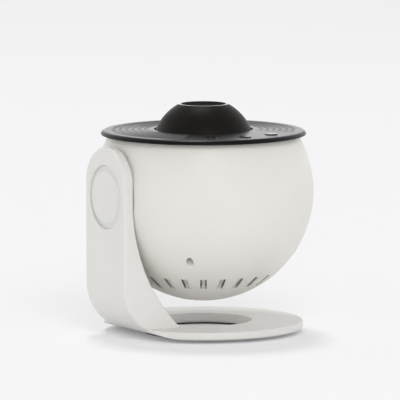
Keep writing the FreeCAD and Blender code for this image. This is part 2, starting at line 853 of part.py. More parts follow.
def make_top_cover():
    body = new_body("top_cover")
    seat = size.cover_seat
    skirt = side(inner_radius, seat) - size.laid_gap
    turn(body, outline(body, "XZ_Plane", [[
        (sleeve_outer + size.fit_gap, ceiling),
        (sleeve_outer + size.fit_gap, recess_floor),
        (size.recess_radius, recess_floor),
        (size.recess_radius, crown),
        (crease, crease_height),
        (cover_radius, seat + size.rim_belly, -1.3 * size.rim_height),
        (cover_radius - size.rim_tuck, seat, -1.2 * size.rim_tuck),
        (skirt, seat),
        (skirt, seat - size.skirt_depth),
        (skirt - size.skirt_wall, seat - size.skirt_depth),
        (skirt - size.skirt_wall, ceiling)]]))

    pitch, depth = ripple_pitch, size.ripple_depth
    hollow = pitch * pitch / (8 * depth) + depth / 2
    waves = [(ripple_start, cover_height(ripple_start) - size.ripple_land)]
    for number in range(int(sizes["ripple_count"])):
        radius = ripple_start + (number + 1) * pitch
        waves.append((radius, cover_height(radius) - size.ripple_land, hollow))
    waves.append((waves[-1][0], crown + 1))
    waves.append((waves[0][0], crown + 1))
    turn(body, outline(body, "YZ_Plane", [waves]), "Groove", angle=360 - 2 * size.front_sector)

    bosses = [
        (around(deck_boss_orbit, deck_angles), size.deck_boss, deck_top,
         size.screw_bite),
        (around(size.guide_screw_orbit, guide_angles), size.deck_boss - 0.4, guide_seat,
         size.short_bite),
        (around(button_boss_orbit, board_screw_angles), size.deck_boss - 0.6,
         board_under_cover, size.short_bite)]
    for spots, radius, foot, depth in bosses:
        sketch = circles(body, "XY_Plane", [(x, y, radius) for x, y in spots], foot)
        pad(body, sketch, ceiling - foot + 0.5)
    for spots, radius, foot, depth in bosses:
        holes(body, spots, size.screw_shank + size.laid_gap, foot, depth, upwards=True)
    buttons = around(button_orbit, button_angles.values())
    holes(body, buttons, size.button_radius + size.button_gap, crown + 1, 8)
    flange = size.button_radius + size.button_flange + size.button_relief
    holes(body, buttons, flange, ceiling, 2 * size.skirt_depth)
    return body


def make_button(label, angle):
    body = new_body(label)
    (x, y), = around(button_orbit, [angle])
    top = cover_height(button_orbit) + size.button_stand
    flange_top = ceiling - size.touch_gap
    flange_low = flange_top - size.button_flange_height
    tip = switch_top + size.button_travel + size.laid_gap
    pad(body, circles(body, "XY_Plane", [(x, y, size.button_radius)], flange_low),
        top - flange_low)
    soften(body, lambda edge: abs(edge.CenterOfMass.z - top.value) < 0.01, size.button_edge)
    pad(body, circles(body, "XY_Plane", [(x, y, size.button_radius + size.button_flange)],
                      flange_low), size.button_flange_height)
    pad(body, circles(body, "XY_Plane", [(x, y, size.button_stem)], tip), flange_low - tip)
    return body


def make_button_board():
    body = new_body("button_board")
    inner = button_orbit - size.button_board_inside
    outer = button_orbit + size.button_board_outside
    left, right = -90 - size.button_board_sector, -90 + size.button_board_sector
    pad(body, outline(body, "XY_Plane", [[
        (inner * cosine(left), inner * sine(left)),
        (outer * cosine(left), outer * sine(left)),
        (outer * cosine(right), outer * sine(right), outer),
        (inner * cosine(right), inner * sine(right)),
        (inner * cosine(left), inner * sine(left), -inner)][1:]],
        board_under_cover - size.board_thickness), size.board_thickness)
    spots = around(button_boss_orbit, board_screw_angles)
    holes(body, spots, size.screw_shank + size.laid_gap, board_under_cover + 1, 5)
    low = board_under_cover - size.board_thickness
    screws("button_board_screws", spots, low, size.board_thickness + 3, heads_up=False)

    switches = new_body("tact_switches")
    places = around(button_orbit, button_angles.values())
    half = size.switch_size / 2
    pad(switches, outline(switches, "XY_Plane", [block(x, y, half, half) for x, y in places],
                          board_under_cover), size.switch_height * 0.7)
    pad(switches, circles(switches, "XY_Plane", [(x, y, size.button_stem) for x, y in places],
                          board_under_cover), size.switch_height)


# ---- focus dome and lens ----------------------------------------------------------------------

def make_focus_dome():
    body = new_body("focus_dome")
    curve, lip, shoulder = dome_curve, size.dome_lip, dome_shoulder
    inner_top = dome_top - size.dome_ceiling
    keeper_high = ceiling - size.touch_gap + size.laid_gap
    keeper_low = keeper_high - size.keeper_height - size.laid_gap
    bite = sleeve_outer - size.keeper_bite
    turn(body, outline(body, "XZ_Plane", [[
        (dome_base_radius, dome_bottom),
        (size.aperture_radius + size.dome_land, shoulder, curve),
        (size.aperture_radius + size.dome_land - lip, dome_top),
        (size.aperture_radius + lip * 0.4, dome_top),
        (size.aperture_radius, dome_top - lip * 0.4),
        (size.aperture_radius, guide_top + size.touch_gap),
        (sleeve_bore, guide_top + size.touch_gap),
        (sleeve_bore, sleeve_bottom),
        (sleeve_outer, sleeve_bottom),
        (sleeve_outer, keeper_low),
        (bite, keeper_low),
        (bite, keeper_high),
        (sleeve_outer, keeper_high),
        (sleeve_outer, inner_top),
        (side(dome_inner, inner_top - dome_middle), inner_top),
        (side(dome_inner, dome_bottom - dome_middle), dome_bottom, -dome_inner)]]))

    half = size.pin_radius + size.laid_gap
    start = size.pin_height - size.focus_lead / 6
    deep = size.pin_reach + 2 * size.laid_gap
    section = outline(body, "XZ_Plane", [ring(sleeve_bore - 1, deep, start - half, start + half)])
    cam = feature("SubtractiveHelix", body, section)
    cam.ReferenceAxis = (section, ["V_Axis"])
    cam.Mode = "pitch-height-angle"
    bind(cam, "Pitch", size.focus_lead)
    bind(cam, "Height", size.focus_lead / 3)
    repeat(body, [cam], size.pin_count)

    turned("focus_retainer", ring(bite + size.press_gap, bite + size.keeper_width,
                                  keeper_low + size.laid_gap / 2,
                                  keeper_high - size.laid_gap))
    return body


def make_lens_guide():
    body = new_body("lens_guide")
    low = guide_seat - size.guide_flange_thickness
    turn(body, outline(body, "XZ_Plane", [[
        (guide_bore, low), (size.guide_flange, low), (size.guide_flange, guide_seat),
        (guide_outer, guide_seat), (guide_outer, guide_top), (guide_bore, guide_top)]]))
    reach = size.focus_lead * size.focus_turn / 360 + size.pin_radius + size.touch_gap
    slot = outline(body, "YZ_Plane", [block(measure(0), size.pin_height,
                                            size.pin_radius + size.fit_gap, reach)])
    repeat(body, [pocket(body, slot, guide_outer + 2)], size.pin_count)
    spots = around(size.guide_screw_orbit, guide_angles)
    holes(body, spots, size.screw_shank + size.laid_gap, guide_seat + 1, 5)
    screws("guide_screws", spots, low, size.guide_flange_thickness + 3, heads_up=False)
    return body


def make_lens_barrel():
    body = new_body("lens_barrel")
    lip_top = barrel_top - 2 * size.step_rise
    lip_low = lip_top - size.barrel_lip
    lip_radius = size.lens_radius - size.lens_shoulder
    turn(body, outline(body, "XZ_Plane", [[
        (lens_bore, barrel_bottom), (size.barrel_radius, barrel_bottom),
        (size.barrel_radius, barrel_top - 0.4), (size.barrel_radius - 0.4, barrel_top),
        (size.step_one, barrel_top), (size.step_one, barrel_top - size.step_rise),
        (size.step_two, barrel_top - size.step_rise), (size.step_two, lip_top),
        (lip_radius, lip_top), (lip_radius, lip_low), (lens_bore, lip_low)]]))
    seat = circles(body, "YZ_Plane", [(0, size.pin_height, size.pin_radius + size.press_gap)],
                   -size.pin_root)
    repeat(body, [pocket(body, seat, 10)], size.pin_count)

    pins = new_body("cam_pins")
    stem = circles(pins, "YZ_Plane", [(0, size.pin_height, size.pin_radius)], -size.pin_root)
    repeat(pins, [pad(pins, stem, size.pin_reach - size.pin_root, backwards=True)],
           size.pin_count)

    radius, shoulder, edge = size.lens_radius, size.lens_shoulder, size.lens_edge
    inner = radius - shoulder - size.laid_gap
    front_high = lip_low
    front_low = front_high - edge
    bulge = (size.front_lens_thickness - edge) / 2
    bend = (inner * inner + bulge * bulge) / (2 * bulge)
    turned("front_lens", [
        (0, front_low - bulge), (inner, front_low, bend), (radius, front_low),
        (radius, front_high), (inner, front_high), (0, front_high + bulge, bend)])
    rear_high = front_low - size.lens_spacing
    rear_low = rear_high - edge
    sag = (size.rear_lens_thickness - edge) / 2
    curve = (inner * inner + sag * sag) / (2 * sag)
    turned("lens_spacer", ring(inner + size.laid_gap, radius, rear_high, front_low))
    turned("rear_lens", [
        (0, rear_low - sag), (inner, rear_low, curve), (radius, rear_low),
        (radius, rear_high), (inner, rear_high), (0, rear_high + sag, curve)])
    turned("lens_retainer", ring(inner + size.laid_gap, radius,
                                 rear_low - size.lens_keeper, rear_low))
    return body


# ---- deck, star disc and motor ----------------------------------------------------------------

def make_chassis():
    body = new_body("chassis")
    pad(body, circles(body, "XY_Plane", [(0, 0, deck_radius)], deck_under),
        size.deck_thickness)
    legs = around(leg_orbit, leg_angles)
    pad(body, circles(body, "XY_Plane", [(x, y, size.leg_radius) for x, y in legs],
                      -leg_foot), deck_top + leg_foot)
    pad(body, circles(body, "XY_Plane", [(x, y, size.clamp_pillar) for x, y in clamp_spots],
                      gearbox_low), size.gearbox_height + 1)
    stand_off = board_low + size.board_thickness
    pad(body, circles(body, "XY_Plane", [(x, y, size.post_radius) for x, y in board_spots],
                      stand_off), deck_under - stand_off + 1)
    outer, inner = deck_radius - 1, deck_radius - 1 - size.deck_rib
    turn(body, outline(body, "XZ_Plane", [ring(inner, outer, deck_under - size.deck_rib_height,
                                               deck_under + 1)]))
    hole = size.screw_shank + size.laid_gap
    holes(body, [(0, 0)], size.deck_bore, deck_top + 1, 10)
    holes(body, [(motor_reach, 0)], size.shaft_radius + 0.6, deck_top + 1, 10)
    holes(body, around(deck_boss_orbit, deck_angles), hole, deck_top + 1, 10)
    holes(body, legs, hole, -leg_foot, size.screw_bite + 1, upwards=True)
    holes(body, clamp_spots, hole, gearbox_low, size.screw_bite, upwards=True)
    holes(body, board_spots, hole, stand_off, 4, upwards=True)
    holes(body, around(size.lamp_ear_orbit, lamp_angles), hole, deck_under, 2.4, upwards=True)
    notch = outline(body, "XY_Plane", [block(measure(0), port_reach, size.port_tongue + 1,
                                             measure(12))], deck_under)
    pocket(body, notch, size.deck_rib_height + 1)
    return body


def gear_teeth(body, teeth, low, height):
    """Teeth about the body's axis, the first one on +X, with play for a running mesh."""
    pitch = teeth * size.gear_module / 2
    half = size.gear_module * (math.pi / 4) - 0.05
    root_radius = pitch - size.gear_module * 1.25
    tip = pitch + size.gear_module
    tooth = outline(body, "XY_Plane", [[
        (root_radius - 0.2, -half * 1.3),
        (pitch, -half), (tip, -half * 0.45),
        (tip, half * 0.45), (pitch, half),
        (root_radius - 0.2, half * 1.3)]], low)
    repeat(body, [pad(body, tooth, height)], teeth)


def make_disc_carrier():
    body = new_body("disc_carrier")
    blank = size.carrier_teeth * size.gear_module / 2 - size.gear_module * 1.25
    low = deck_top - size.carrier_depth
    keeper_high = deck_under - size.touch_gap + size.laid_gap
    keeper_low = keeper_high - size.keeper_height - size.laid_gap
    bite = size.hub_journal - size.keeper_bite
    turn(body, outline(body, "XZ_Plane", [[
        (size.carrier_bore, low), (size.hub_journal, low),
        (size.hub_journal, keeper_low), (bite, keeper_low), (bite, keeper_high),
        (size.hub_journal, keeper_high),
        (size.hub_journal, gear_low), (blank, gear_low), (blank, gear_high),
        (size.disc_radius + size.laid_gap, gear_high),
        (size.disc_radius + size.laid_gap, disc_seat),
        (size.carrier_bore, disc_seat)]]))
    gear_teeth(body, size.carrier_teeth, gear_low, size.carrier_thickness)
    turned("film_disc", [(0, disc_seat), (size.disc_radius, disc_seat),
                         (size.disc_radius, disc_seat + size.disc_thickness),
                         (0, disc_seat + size.disc_thickness)])
    turned("disc_ring", ring(size.disc_radius - size.ring_wall, size.disc_radius,
                             disc_seat + size.disc_thickness, gear_high))
    turned("carrier_retainer", ring(bite + size.press_gap, bite + size.keeper_width,
                                    keeper_low + size.laid_gap / 2,
                                    keeper_high - size.laid_gap))
    return body


def make_motor():
    body = new_body("gear_motor")
    half_width, half_depth = size.motor_width / 2, size.motor_depth / 2
    pad(body, outline(body, "XY_Plane", [block(motor_reach, measure(0), half_width, half_depth)],
                      gearbox_low), size.gearbox_height)
    reach = side(half_width, half_depth)
    can = outline(body, "XY_Plane", [[
        (motor_reach - reach, -half_depth), (motor_reach + reach, -half_depth),
        (motor_reach + reach, half_depth, half_width), (motor_reach - reach, half_depth),
        (motor_reach - reach, -half_depth, half_width)][1:]], gearbox_low - size.motor_can)
    pad(body, can, size.motor_can)

    clamp = new_body("motor_clamp")
    low = gearbox_low - size.clamp_thickness
    pad(clamp, outline(clamp, "XY_Plane", [block(motor_reach, measure(0), half_width + 1,
                                                 size.clamp_orbit + size.clamp_pillar)], low),
        size.clamp_thickness)
    holes(clamp, [(motor_reach, 0)], half_width + size.laid_gap, gearbox_low + 1, 10)
    holes(clamp, clamp_spots, size.screw_shank + size.laid_gap, gearbox_low + 1, 10)
    screws("motor_screws", clamp_spots, low, size.screw_bite, heads_up=False)

    shaft = new_body("motor_shaft")
    pad(shaft, circles(shaft, "XY_Plane", [(0, 0, size.shaft_radius)],
                       deck_under + size.laid_gap), gear_high - deck_under - size.laid_gap)
    pinion = new_body("motor_pinion")
    low = gear_low + size.laid_gap
    high = size.carrier_thickness - 2 * size.laid_gap
    blank = size.pinion_teeth * size.gear_module / 2 - size.gear_module * 1.25
    pad(pinion, circles(pinion, "XY_Plane", [(0, 0, blank)], low), high)
    gear_teeth(pinion, size.pinion_teeth, low, high)
    holes(pinion, [(0, 0)], size.shaft_radius + size.press_gap, gear_high + 1, 10)
    bind(pinion, "Placement.Rotation.Angle", measure(180) / size.pinion_teeth)
    for piece in (shaft, pinion):
        bind(piece, "Placement.Base.x", motor_reach)


# ---- lamp -------------------------------------------------------------------------------------

def make_lamp_housing():
    body = new_body("lamp_housing")
    wall = size.lamp_wall
    collar, tube = size.lamp_collar, size.lamp_tube
    bore = size.condenser_radius + size.laid_gap / 2
    shelf = deck_under - size.lamp_collar_depth
    turn(body, outline(body, "XZ_Plane", [[
        (collar, deck_under), (collar + wall, deck_under), (collar + wall, condenser_top),
        (tube, condenser_top), (tube, lamp_end), (bore, lamp_end), (bore, condenser_top),
        (size.condenser_radius - 2, condenser_top), (size.condenser_radius - 2, shelf),
        (collar, shelf)]]))
    ears = around(size.lamp_ear_orbit, lamp_angles)
    pad(body, circles(body, "XY_Plane", [(x, y, size.lamp_ear) for x, y in ears],
                      deck_under - 3), 3)
    bosses = around(size.lamp_boss_orbit, sink_angles)
    pad(body, circles(body, "XY_Plane", [(x, y, size.lamp_boss) for x, y in bosses], lamp_end),
        condenser_top - lamp_end + 0.5)
    holes(body, [(0, 0)], bore, condenser_top, condenser_top - lamp_end + 1)
    hole = size.screw_shank + size.laid_gap
    holes(body, ears, hole, deck_under + 1, 6)
    holes(body, bosses, hole, lamp_end, size.screw_bite, upwards=True)
    screws("lamp_screws", ears, deck_under - 3, 5, heads_up=False)
    screws("heat_sink_screws", bosses, lamp_end - size.sink_base, size.sink_base + 5,
           heads_up=False)
    return body


def make_condenser():
    radius, edge, bulge = size.condenser_radius, size.condenser_edge, size.condenser_bulge
    inner = radius - size.condenser_rim
    bend = (inner * inner + bulge * bulge) / (2 * bulge)
    turned("condenser_upper", [
        (0, upper_rim - bulge), (inner, upper_rim, bend), (radius, upper_rim),
        (radius, condenser_top), (0, condenser_top)])
    turned("condenser_lower", [
        (0, lower_flat), (radius, lower_flat), (radius, lower_rim), (inner, lower_rim),
        (0, lower_rim + bulge, bend)])
    turned("condenser_spacer", ring(inner + size.laid_gap, radius, lower_rim, upper_rim))
    turned("condenser_clamp", ring(inner - 1, radius, lower_flat - size.condenser_keeper,
                                   lower_flat))


def make_lamp():
    board_top = lamp_end + size.led_board_thickness
    turned("led_board", [(0, lamp_end), (size.led_board_radius, lamp_end),
                         (size.led_board_radius, board_top), (0, board_top)])
    base_high = board_top + 0.6
    turned("led_emitter", [
        (0, board_top), (size.led_base, board_top), (size.led_base, base_high),
        (size.led_radius, base_high), (0, base_high + size.led_radius, size.led_radius)])
    body = new_body("heat_sink")
    low = lamp_end - size.sink_base
    pad(body, circles(body, "XY_Plane", [(0, 0, size.sink_radius)], low), size.sink_base)
    fins = []
    for number in range(-4, 5):
        x = number * size.fin_pitch
        far = x + math.copysign(0.5, number) * size.fin_thickness
        fins.append(block(x, measure(0), size.fin_thickness / 2, side(size.fin_radius, far)))
    fin_length = low + cell_height - size.cell_radius - size.fin_gap
    pad(body, outline(body, "XY_Plane", fins, low), fin_length, backwards=True)
    holes(body, around(size.lamp_boss_orbit, sink_angles), size.screw_shank + size.laid_gap,
          lamp_end + 1, 10)


# ---- boards, port and battery -----------------------------------------------------------------

def make_main_board():
    body = new_body("main_board")
    wide, front, back = size.board_half_width, size.board_front, board_back
    tongue, reach = size.port_tongue, port_reach
    pad(body, outline(body, "XY_Plane", [[
        (-wide, front), (wide, front), (wide, back), (tongue, reach), (-tongue, reach),
        (-wide, back)]], board_low), size.board_thickness)
    hole = size.screw_shank + size.laid_gap
    holes(body, board_spots, hole, board_low + size.board_thickness + 1, 5)
    screws("main_board_screws", board_spots, board_low, size.board_thickness + 3,
           heads_up=False)

    parts = new_body("board_components")
    top = board_low + size.board_thickness
    step = (back - front) / 8
    chip, coil = size.chip_half, size.coil_radius
    pad(parts, outline(parts, "XY_Plane", [
        block(measure(0), front + step * 3.5, chip, chip),
        block(-wide / 2, front + step * 3.75, chip * 0.4, chip * 0.7)], top), 1.4)
    pad(parts, outline(parts, "XY_Plane", [
        block(measure(0), front + step * 0.85, chip * 1.2, chip / 2)], top), 4)
    pad(parts, circles(parts, "XY_Plane", [(wide / 2, front + step * 3, coil),
                                           (wide / 2, front + step * 5, coil)], top), 5)

    port = new_body("charging_port")
    middle = top + size.port_height / 2
    straight = (size.port_width - size.port_height) / 2
    mouth = size.ball_radius - size.port_inset
    high = size.port_height / 2
    shell = outline(port, "XZ_Plane", [stadium(0, middle, straight, high)], -mouth)
    pad(port, shell, size.port_depth)
    inside = outline(port, "XZ_Plane", [stadium(0, middle, straight, high - size.port_wall)],
                     -mouth)
    pocket(port, inside, size.port_depth - 1, backwards=False)
    tongue = outline(port, "XZ_Plane", [block(measure(0), middle, straight + 0.4,
                                              measure(0.35))], -mouth + 1)
    pad(port, tongue, size.port_depth - 1.5)


def make_battery():
    cell = new_body("battery_cell")
    height = -cell_height
    pad(cell, circles(cell, "YZ_Plane", [(0, height, size.cell_radius)]), size.cell_length,
        both_ways=True)
    cradle = new_body("battery_cradle")
    bore = size.cell_radius + size.laid_gap
    half = bore + size.cradle_wall
    pad(cradle, outline(cradle, "YZ_Plane", [[
        (-half, cradle_bottom), (half, cradle_bottom), (half, height), (-half, height)]]),
        size.cell_length + 2 * size.cradle_wall, both_ways=True)
    pad(cradle, circles(cradle, "XY_Plane", [(x, y, size.cradle_post + 0.5)
                                             for x, y in cradle_spots], cradle_bottom),
        size.cradle_ear_thickness)
    pocket(cradle, circles(cradle, "YZ_Plane", [(0, height, bore)]),
           size.cell_length + 2 * size.laid_gap, both_ways=True)
    holes(cradle, cradle_spots, size.screw_shank + size.laid_gap, cradle_bottom + 5, 10)
    screws("battery_screws", cradle_spots, cradle_bottom + size.cradle_ear_thickness,
           size.cradle_ear_thickness + 5)


# ---- build ------------------------------------------------------------------------------------

make_stand_bracket()
make_foot_ring()
make_pivot_cap()
make_pivot_parts()
make_lower_shell()
make_vent_baffle()
make_top_cover()
for button, angle in button_angles.items():
    make_button(button, angle)
make_button_board()
make_focus_dome()
make_lens_guide()
make_lens_barrel()
make_chassis()
make_disc_carrier()
make_motor()
make_lamp_housing()
make_condenser()
make_lamp()
make_main_board()
make_battery()
screws("housing_screws", around(leg_orbit, leg_angles), -screw_seat,
       screw_seat - leg_foot + size.screw_bite, heads_up=False)
screws("deck_screws", around(deck_boss_orbit, deck_angles), deck_under,
       size.deck_thickness + size.screw_bite - 1, heads_up=False)
doc.recompute()

pieces = [item for item in doc.Objects if item.TypeId == "PartDesign::Body"]
failed = [item.Label for item in doc.Objects
          if "Invalid" in item.State or "Error" in item.State]
if failed:
    raise RuntimeError(f"these objects failed: {failed}")
for piece in pieces:
    if piece.Shape.isNull() or not piece.Shape.isValid():
        raise RuntimeError(f"{piece.Label} has no valid shape")

os.makedirs("parts", exist_ok=True)
for piece in pieces:
    piece.Shape.exportStep(f"parts/{piece.Label}.step")
    print(f"{piece.Label}: {len(piece.Shape.Solids)} solid, {piece.Shape.Volume:.0f} mm3")
print(len(pieces), "pieces")
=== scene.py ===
import json
import math

import bpy
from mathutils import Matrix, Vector

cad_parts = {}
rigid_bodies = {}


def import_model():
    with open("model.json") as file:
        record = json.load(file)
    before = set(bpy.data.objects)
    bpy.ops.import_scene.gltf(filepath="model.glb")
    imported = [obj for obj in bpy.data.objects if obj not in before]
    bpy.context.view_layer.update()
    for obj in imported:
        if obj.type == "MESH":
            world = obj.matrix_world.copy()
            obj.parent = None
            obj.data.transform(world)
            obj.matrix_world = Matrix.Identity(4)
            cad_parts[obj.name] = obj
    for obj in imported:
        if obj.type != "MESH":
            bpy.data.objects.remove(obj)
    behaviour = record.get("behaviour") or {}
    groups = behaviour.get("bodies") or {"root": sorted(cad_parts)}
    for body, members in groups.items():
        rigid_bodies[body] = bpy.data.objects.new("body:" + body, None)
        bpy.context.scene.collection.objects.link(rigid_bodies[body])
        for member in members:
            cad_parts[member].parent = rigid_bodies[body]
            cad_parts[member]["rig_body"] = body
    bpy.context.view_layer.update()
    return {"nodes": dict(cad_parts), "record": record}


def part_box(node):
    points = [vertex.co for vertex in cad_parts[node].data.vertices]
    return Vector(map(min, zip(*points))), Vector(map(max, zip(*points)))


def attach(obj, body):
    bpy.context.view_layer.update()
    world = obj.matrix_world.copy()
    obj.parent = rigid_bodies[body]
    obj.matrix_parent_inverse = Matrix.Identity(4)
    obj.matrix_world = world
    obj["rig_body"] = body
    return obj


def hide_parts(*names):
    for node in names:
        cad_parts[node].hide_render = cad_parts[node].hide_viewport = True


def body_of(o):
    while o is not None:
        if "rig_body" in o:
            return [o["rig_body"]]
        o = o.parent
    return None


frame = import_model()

nodes = frame["nodes"]
print("frame loaded:", len(nodes), "nodes")


# shader maths: an expression on signals adds its Math nodes
class Signal:
    def __init__(self, graph, socket):
        self.graph = graph
        self.socket = socket

    def maths(self, operation, first, second):
        return self.graph.add("ShaderNodeMath", {"operation": operation}, {0: first, 1: second})

    def __add__(self, other):
        return self.maths("ADD", self, other)

    def __radd__(self, other):
        return self.maths("ADD", other, self)

    def __sub__(self, other):
        return self.maths("SUBTRACT", self, other)

    def __rsub__(self, other):
        return self.maths("SUBTRACT", other, self)

    def __mul__(self, other):
        return self.maths("MULTIPLY", self, other)

    def __rmul__(self, other):
        return self.maths("MULTIPLY", other, self)

    def __truediv__(self, other):
        return self.maths("DIVIDE", self, other)

    def __rtruediv__(self, other):
        return self.maths("DIVIDE", other, self)

    def __pow__(self, other):
        return self.maths("POWER", self, other)

    def __gt__(self, other):
        return self.maths("GREATER_THAN", self, other)

    def __lt__(self, other):
        return self.maths("LESS_THAN", self, other)


class Graph:
    def __init__(self, tree):
        self.tree = tree

    def add(self, kind, settings, inputs, output=0):
        node = self.tree.nodes.new(kind)
        for key, value in settings.items():
            setattr(node, key, value)
        for key, value in inputs.items():
            self.connect(value, node.inputs[key])
        return Signal(self, node.outputs[output])

    def connect(self, value, socket):
        if isinstance(value, Signal):
            self.tree.links.new(value.socket, socket)
        else:
            socket.default_value = value

    def blend(self, factor, first, second):
        # sockets 6 and 7 are the two colours, output 2 their mix
        return self.add("ShaderNodeMix", {"data_type": "RGBA"}, {"Factor": factor, 6: first, 7: second}, 2)

    def spread(self, signal, low, high, fromLow=0.0, fromHigh=1.0):
        limits = {"From Min": fromLow, "From Max": fromHigh, "To Min": low, "To Max": high}
        return self.add("ShaderNodeMapRange", {}, {"Value": signal, **limits})

    def split(self, vector):
        node = self.add("ShaderNodeSeparateXYZ", {}, {0: vector}).socket.node
        return [Signal(self, output) for output in node.outputs]


class Finish(Graph):
    def __init__(self, name):
        self.material = bpy.data.materials.new(name)
        self.material.use_nodes = True
        super().__init__(self.material.node_tree)
        self.shader = self.tree.nodes["Principled BSDF"]
        self.place = self.add("ShaderNodeTexCoord", {}, {}, "Object")

    def noise(self, scale, detail, stretch=None):
        place = self.place
        if stretch is not None:
            place = self.add("ShaderNodeMapping", {}, {"Vector": place, "Scale": stretch})
        return self.add("ShaderNodeTexNoise", {}, {"Vector": place, "Scale": scale, "Detail": detail})

    def farFrom(self, point):
        return self.add("ShaderNodeVectorMath", {"operation": "DISTANCE"}, {0: self.place, 1: point}, "Value")

    def farAndHigh(self):
        # distance from the ball's upright axis, and height
        x, y, z = self.split(self.place)
        return (x * x + y * y) ** 0.5, z

    def feed(self, **sockets):
        for name, value in sockets.items():
            self.connect(value, self.shader.inputs[name.replace("_", " ")])

    def bump(self, height, depth, strength):
        dent = {"Height": height, "Distance": depth, "Strength": strength}
        self.feed(Normal=self.add("ShaderNodeBump", {}, dent))


def colour(red, green, blue):
    return (red, green, blue, 1.0)


def wobble(signal, width):
    # a noise turned into a change to both sides of nought
    return (signal - 0.5) * width


# finishes: a noise is given by its scale and detail, a bump by its depth and strength, and
# a range is the part of a noise that is drawn out to the full change of colour or roughness
ballShape = {"middle": (0.0, 0.0, 0.0966), "radius": 0.075}

# painted shade, drawn into the shell's colour on the walls of the vent slots and screw wells
slotShadeLook = {
    "tint": colour(0.035, 0.034, 0.033),
    "skin": 0.0002,          # the walls start to darken this far in from the ball's surface
    "depth": 0.0022,         # and are fully dark this far in
    "slotsBelow": 0.046,
    "wellsBelow": 0.066,     # the screw wells and vent slots are all lower than this
    "wellShare": 0.35,       # how much of the slots' darkening the wells get
    "upright": 0.3,          # only walls whose normal is nearly level darken
}

housingLook = {
    "shell": {"tint": colour(0.738, 0.716, 0.676), "shade": colour(0.712, 0.690, 0.652), "rough": 0.42},
    "stand": {"tint": colour(0.722, 0.714, 0.690), "shade": colour(0.698, 0.690, 0.667), "rough": 0.45},
    "cloud": (14.0, 3.0),
    "cloudRange": (0.35, 0.65),
    "cloudRough": 0.04,
    "fleck": (700.0, 3.0),
    "fleckRange": (0.62, 0.75),
    "fleckShare": 0.10,
    "fleckTint": colour(0.62, 0.60, 0.56),
    "grain": (2600.0, 2.0),
    "grainRough": 0.08,
    "grainShare": 0.8,       # of the bump, and the ripple has the rest
    "ripple": (60.0, 2.0),
    "specular": 0.45,
    "bump": (0.00002, 0.35),
}


def makeHousingPlastic(name, kind, paintedShade=False):
    look = housingLook
    finish = Finish(name)
    cloud = finish.noise(*look["cloud"])
    grain = finish.noise(*look["grain"])
    ripple = finish.noise(*look["ripple"])
    fleck = finish.noise(*look["fleck"])
    patches = finish.spread(cloud, 0.0, 1.0, *look["cloudRange"])
    flecks = finish.spread(fleck, 0.0, look["fleckShare"], *look["fleckRange"])
    paint = finish.blend(patches, look[kind]["tint"], look[kind]["shade"])
    paint = finish.blend(flecks, paint, look["fleckTint"])
    if paintedShade:
        paint = addPaintedShade(finish, paint)
    dull = finish.spread(cloud, -look["cloudRough"], look["cloudRough"])
    finish.feed(Base_Color=paint, Specular_IOR_Level=look["specular"],
                Roughness=look[kind]["rough"] + dull + wobble(grain, look["grainRough"]))
    finish.bump(grain * look["grainShare"] + ripple * (1 - look["grainShare"]), *look["bump"])
    return finish.material


def addPaintedShade(finish, paint):
    # painted shade: the walls of the vent slots and screw wells are drawn darker the further in they lie,
    # where shade falls
    look = slotShadeLook
    height = finish.split(finish.place)[2]
    slots = height < look["slotsBelow"]
    wells = height < look["wellsBelow"]
    low = slots * (1 - look["wellShare"]) + wells * look["wellShare"]
    inner = ballShape["radius"] - look["depth"]
    outer = ballShape["radius"] - look["skin"]
    deep = finish.spread(finish.farFrom(ballShape["middle"]), 1.0, 0.0, inner, outer)
    facing = finish.split(finish.add("ShaderNodeTexCoord", {}, {}, "Normal"))[2]
    upright = (facing < look["upright"]) * (facing > -look["upright"])
    return finish.blend(deep * low * upright, paint, look["tint"])


# painted shade: the baffle is drawn nearly black deeper in than the louvres' faces, where its gaps lie in
# shade
baffleLook = {
    "face": colour(0.66, 0.64, 0.60),
    "gap": colour(0.012, 0.012, 0.012),
    "louvreFace": 0.0731,    # how far the louvres' faces lie from the ball's middle
    "edge": 0.0005,          # over this much the painted shade of the gaps turns into the face
    "cloud": (60.0, 3.0),
    "cloudRange": (0.3, 0.6),
    "faintest": 0.86,
    "grain": (2600.0, 2.0),
    "rough": 0.5,
    "grainRough": 0.1,
    "bump": (0.00002, 0.35),
}


def makeBafflePlastic(name):
    look = baffleLook
    finish = Finish(name)
    grain = finish.noise(*look["grain"])
    cloud = finish.noise(*look["cloud"])
    far = finish.farFrom(ballShape["middle"])
    face = finish.spread(far, 0.0, 1.0, look["louvreFace"], look["louvreFace"] + look["edge"])
    face = face * finish.spread(cloud, look["faintest"], 1.0, *look["cloudRange"])
    finish.feed(Base_Color=finish.blend(face, look["gap"], look["face"]),
                Roughness=look["rough"] + wobble(grain, look["grainRough"]))
    finish.bump(grain, *look["bump"])
    return finish.material


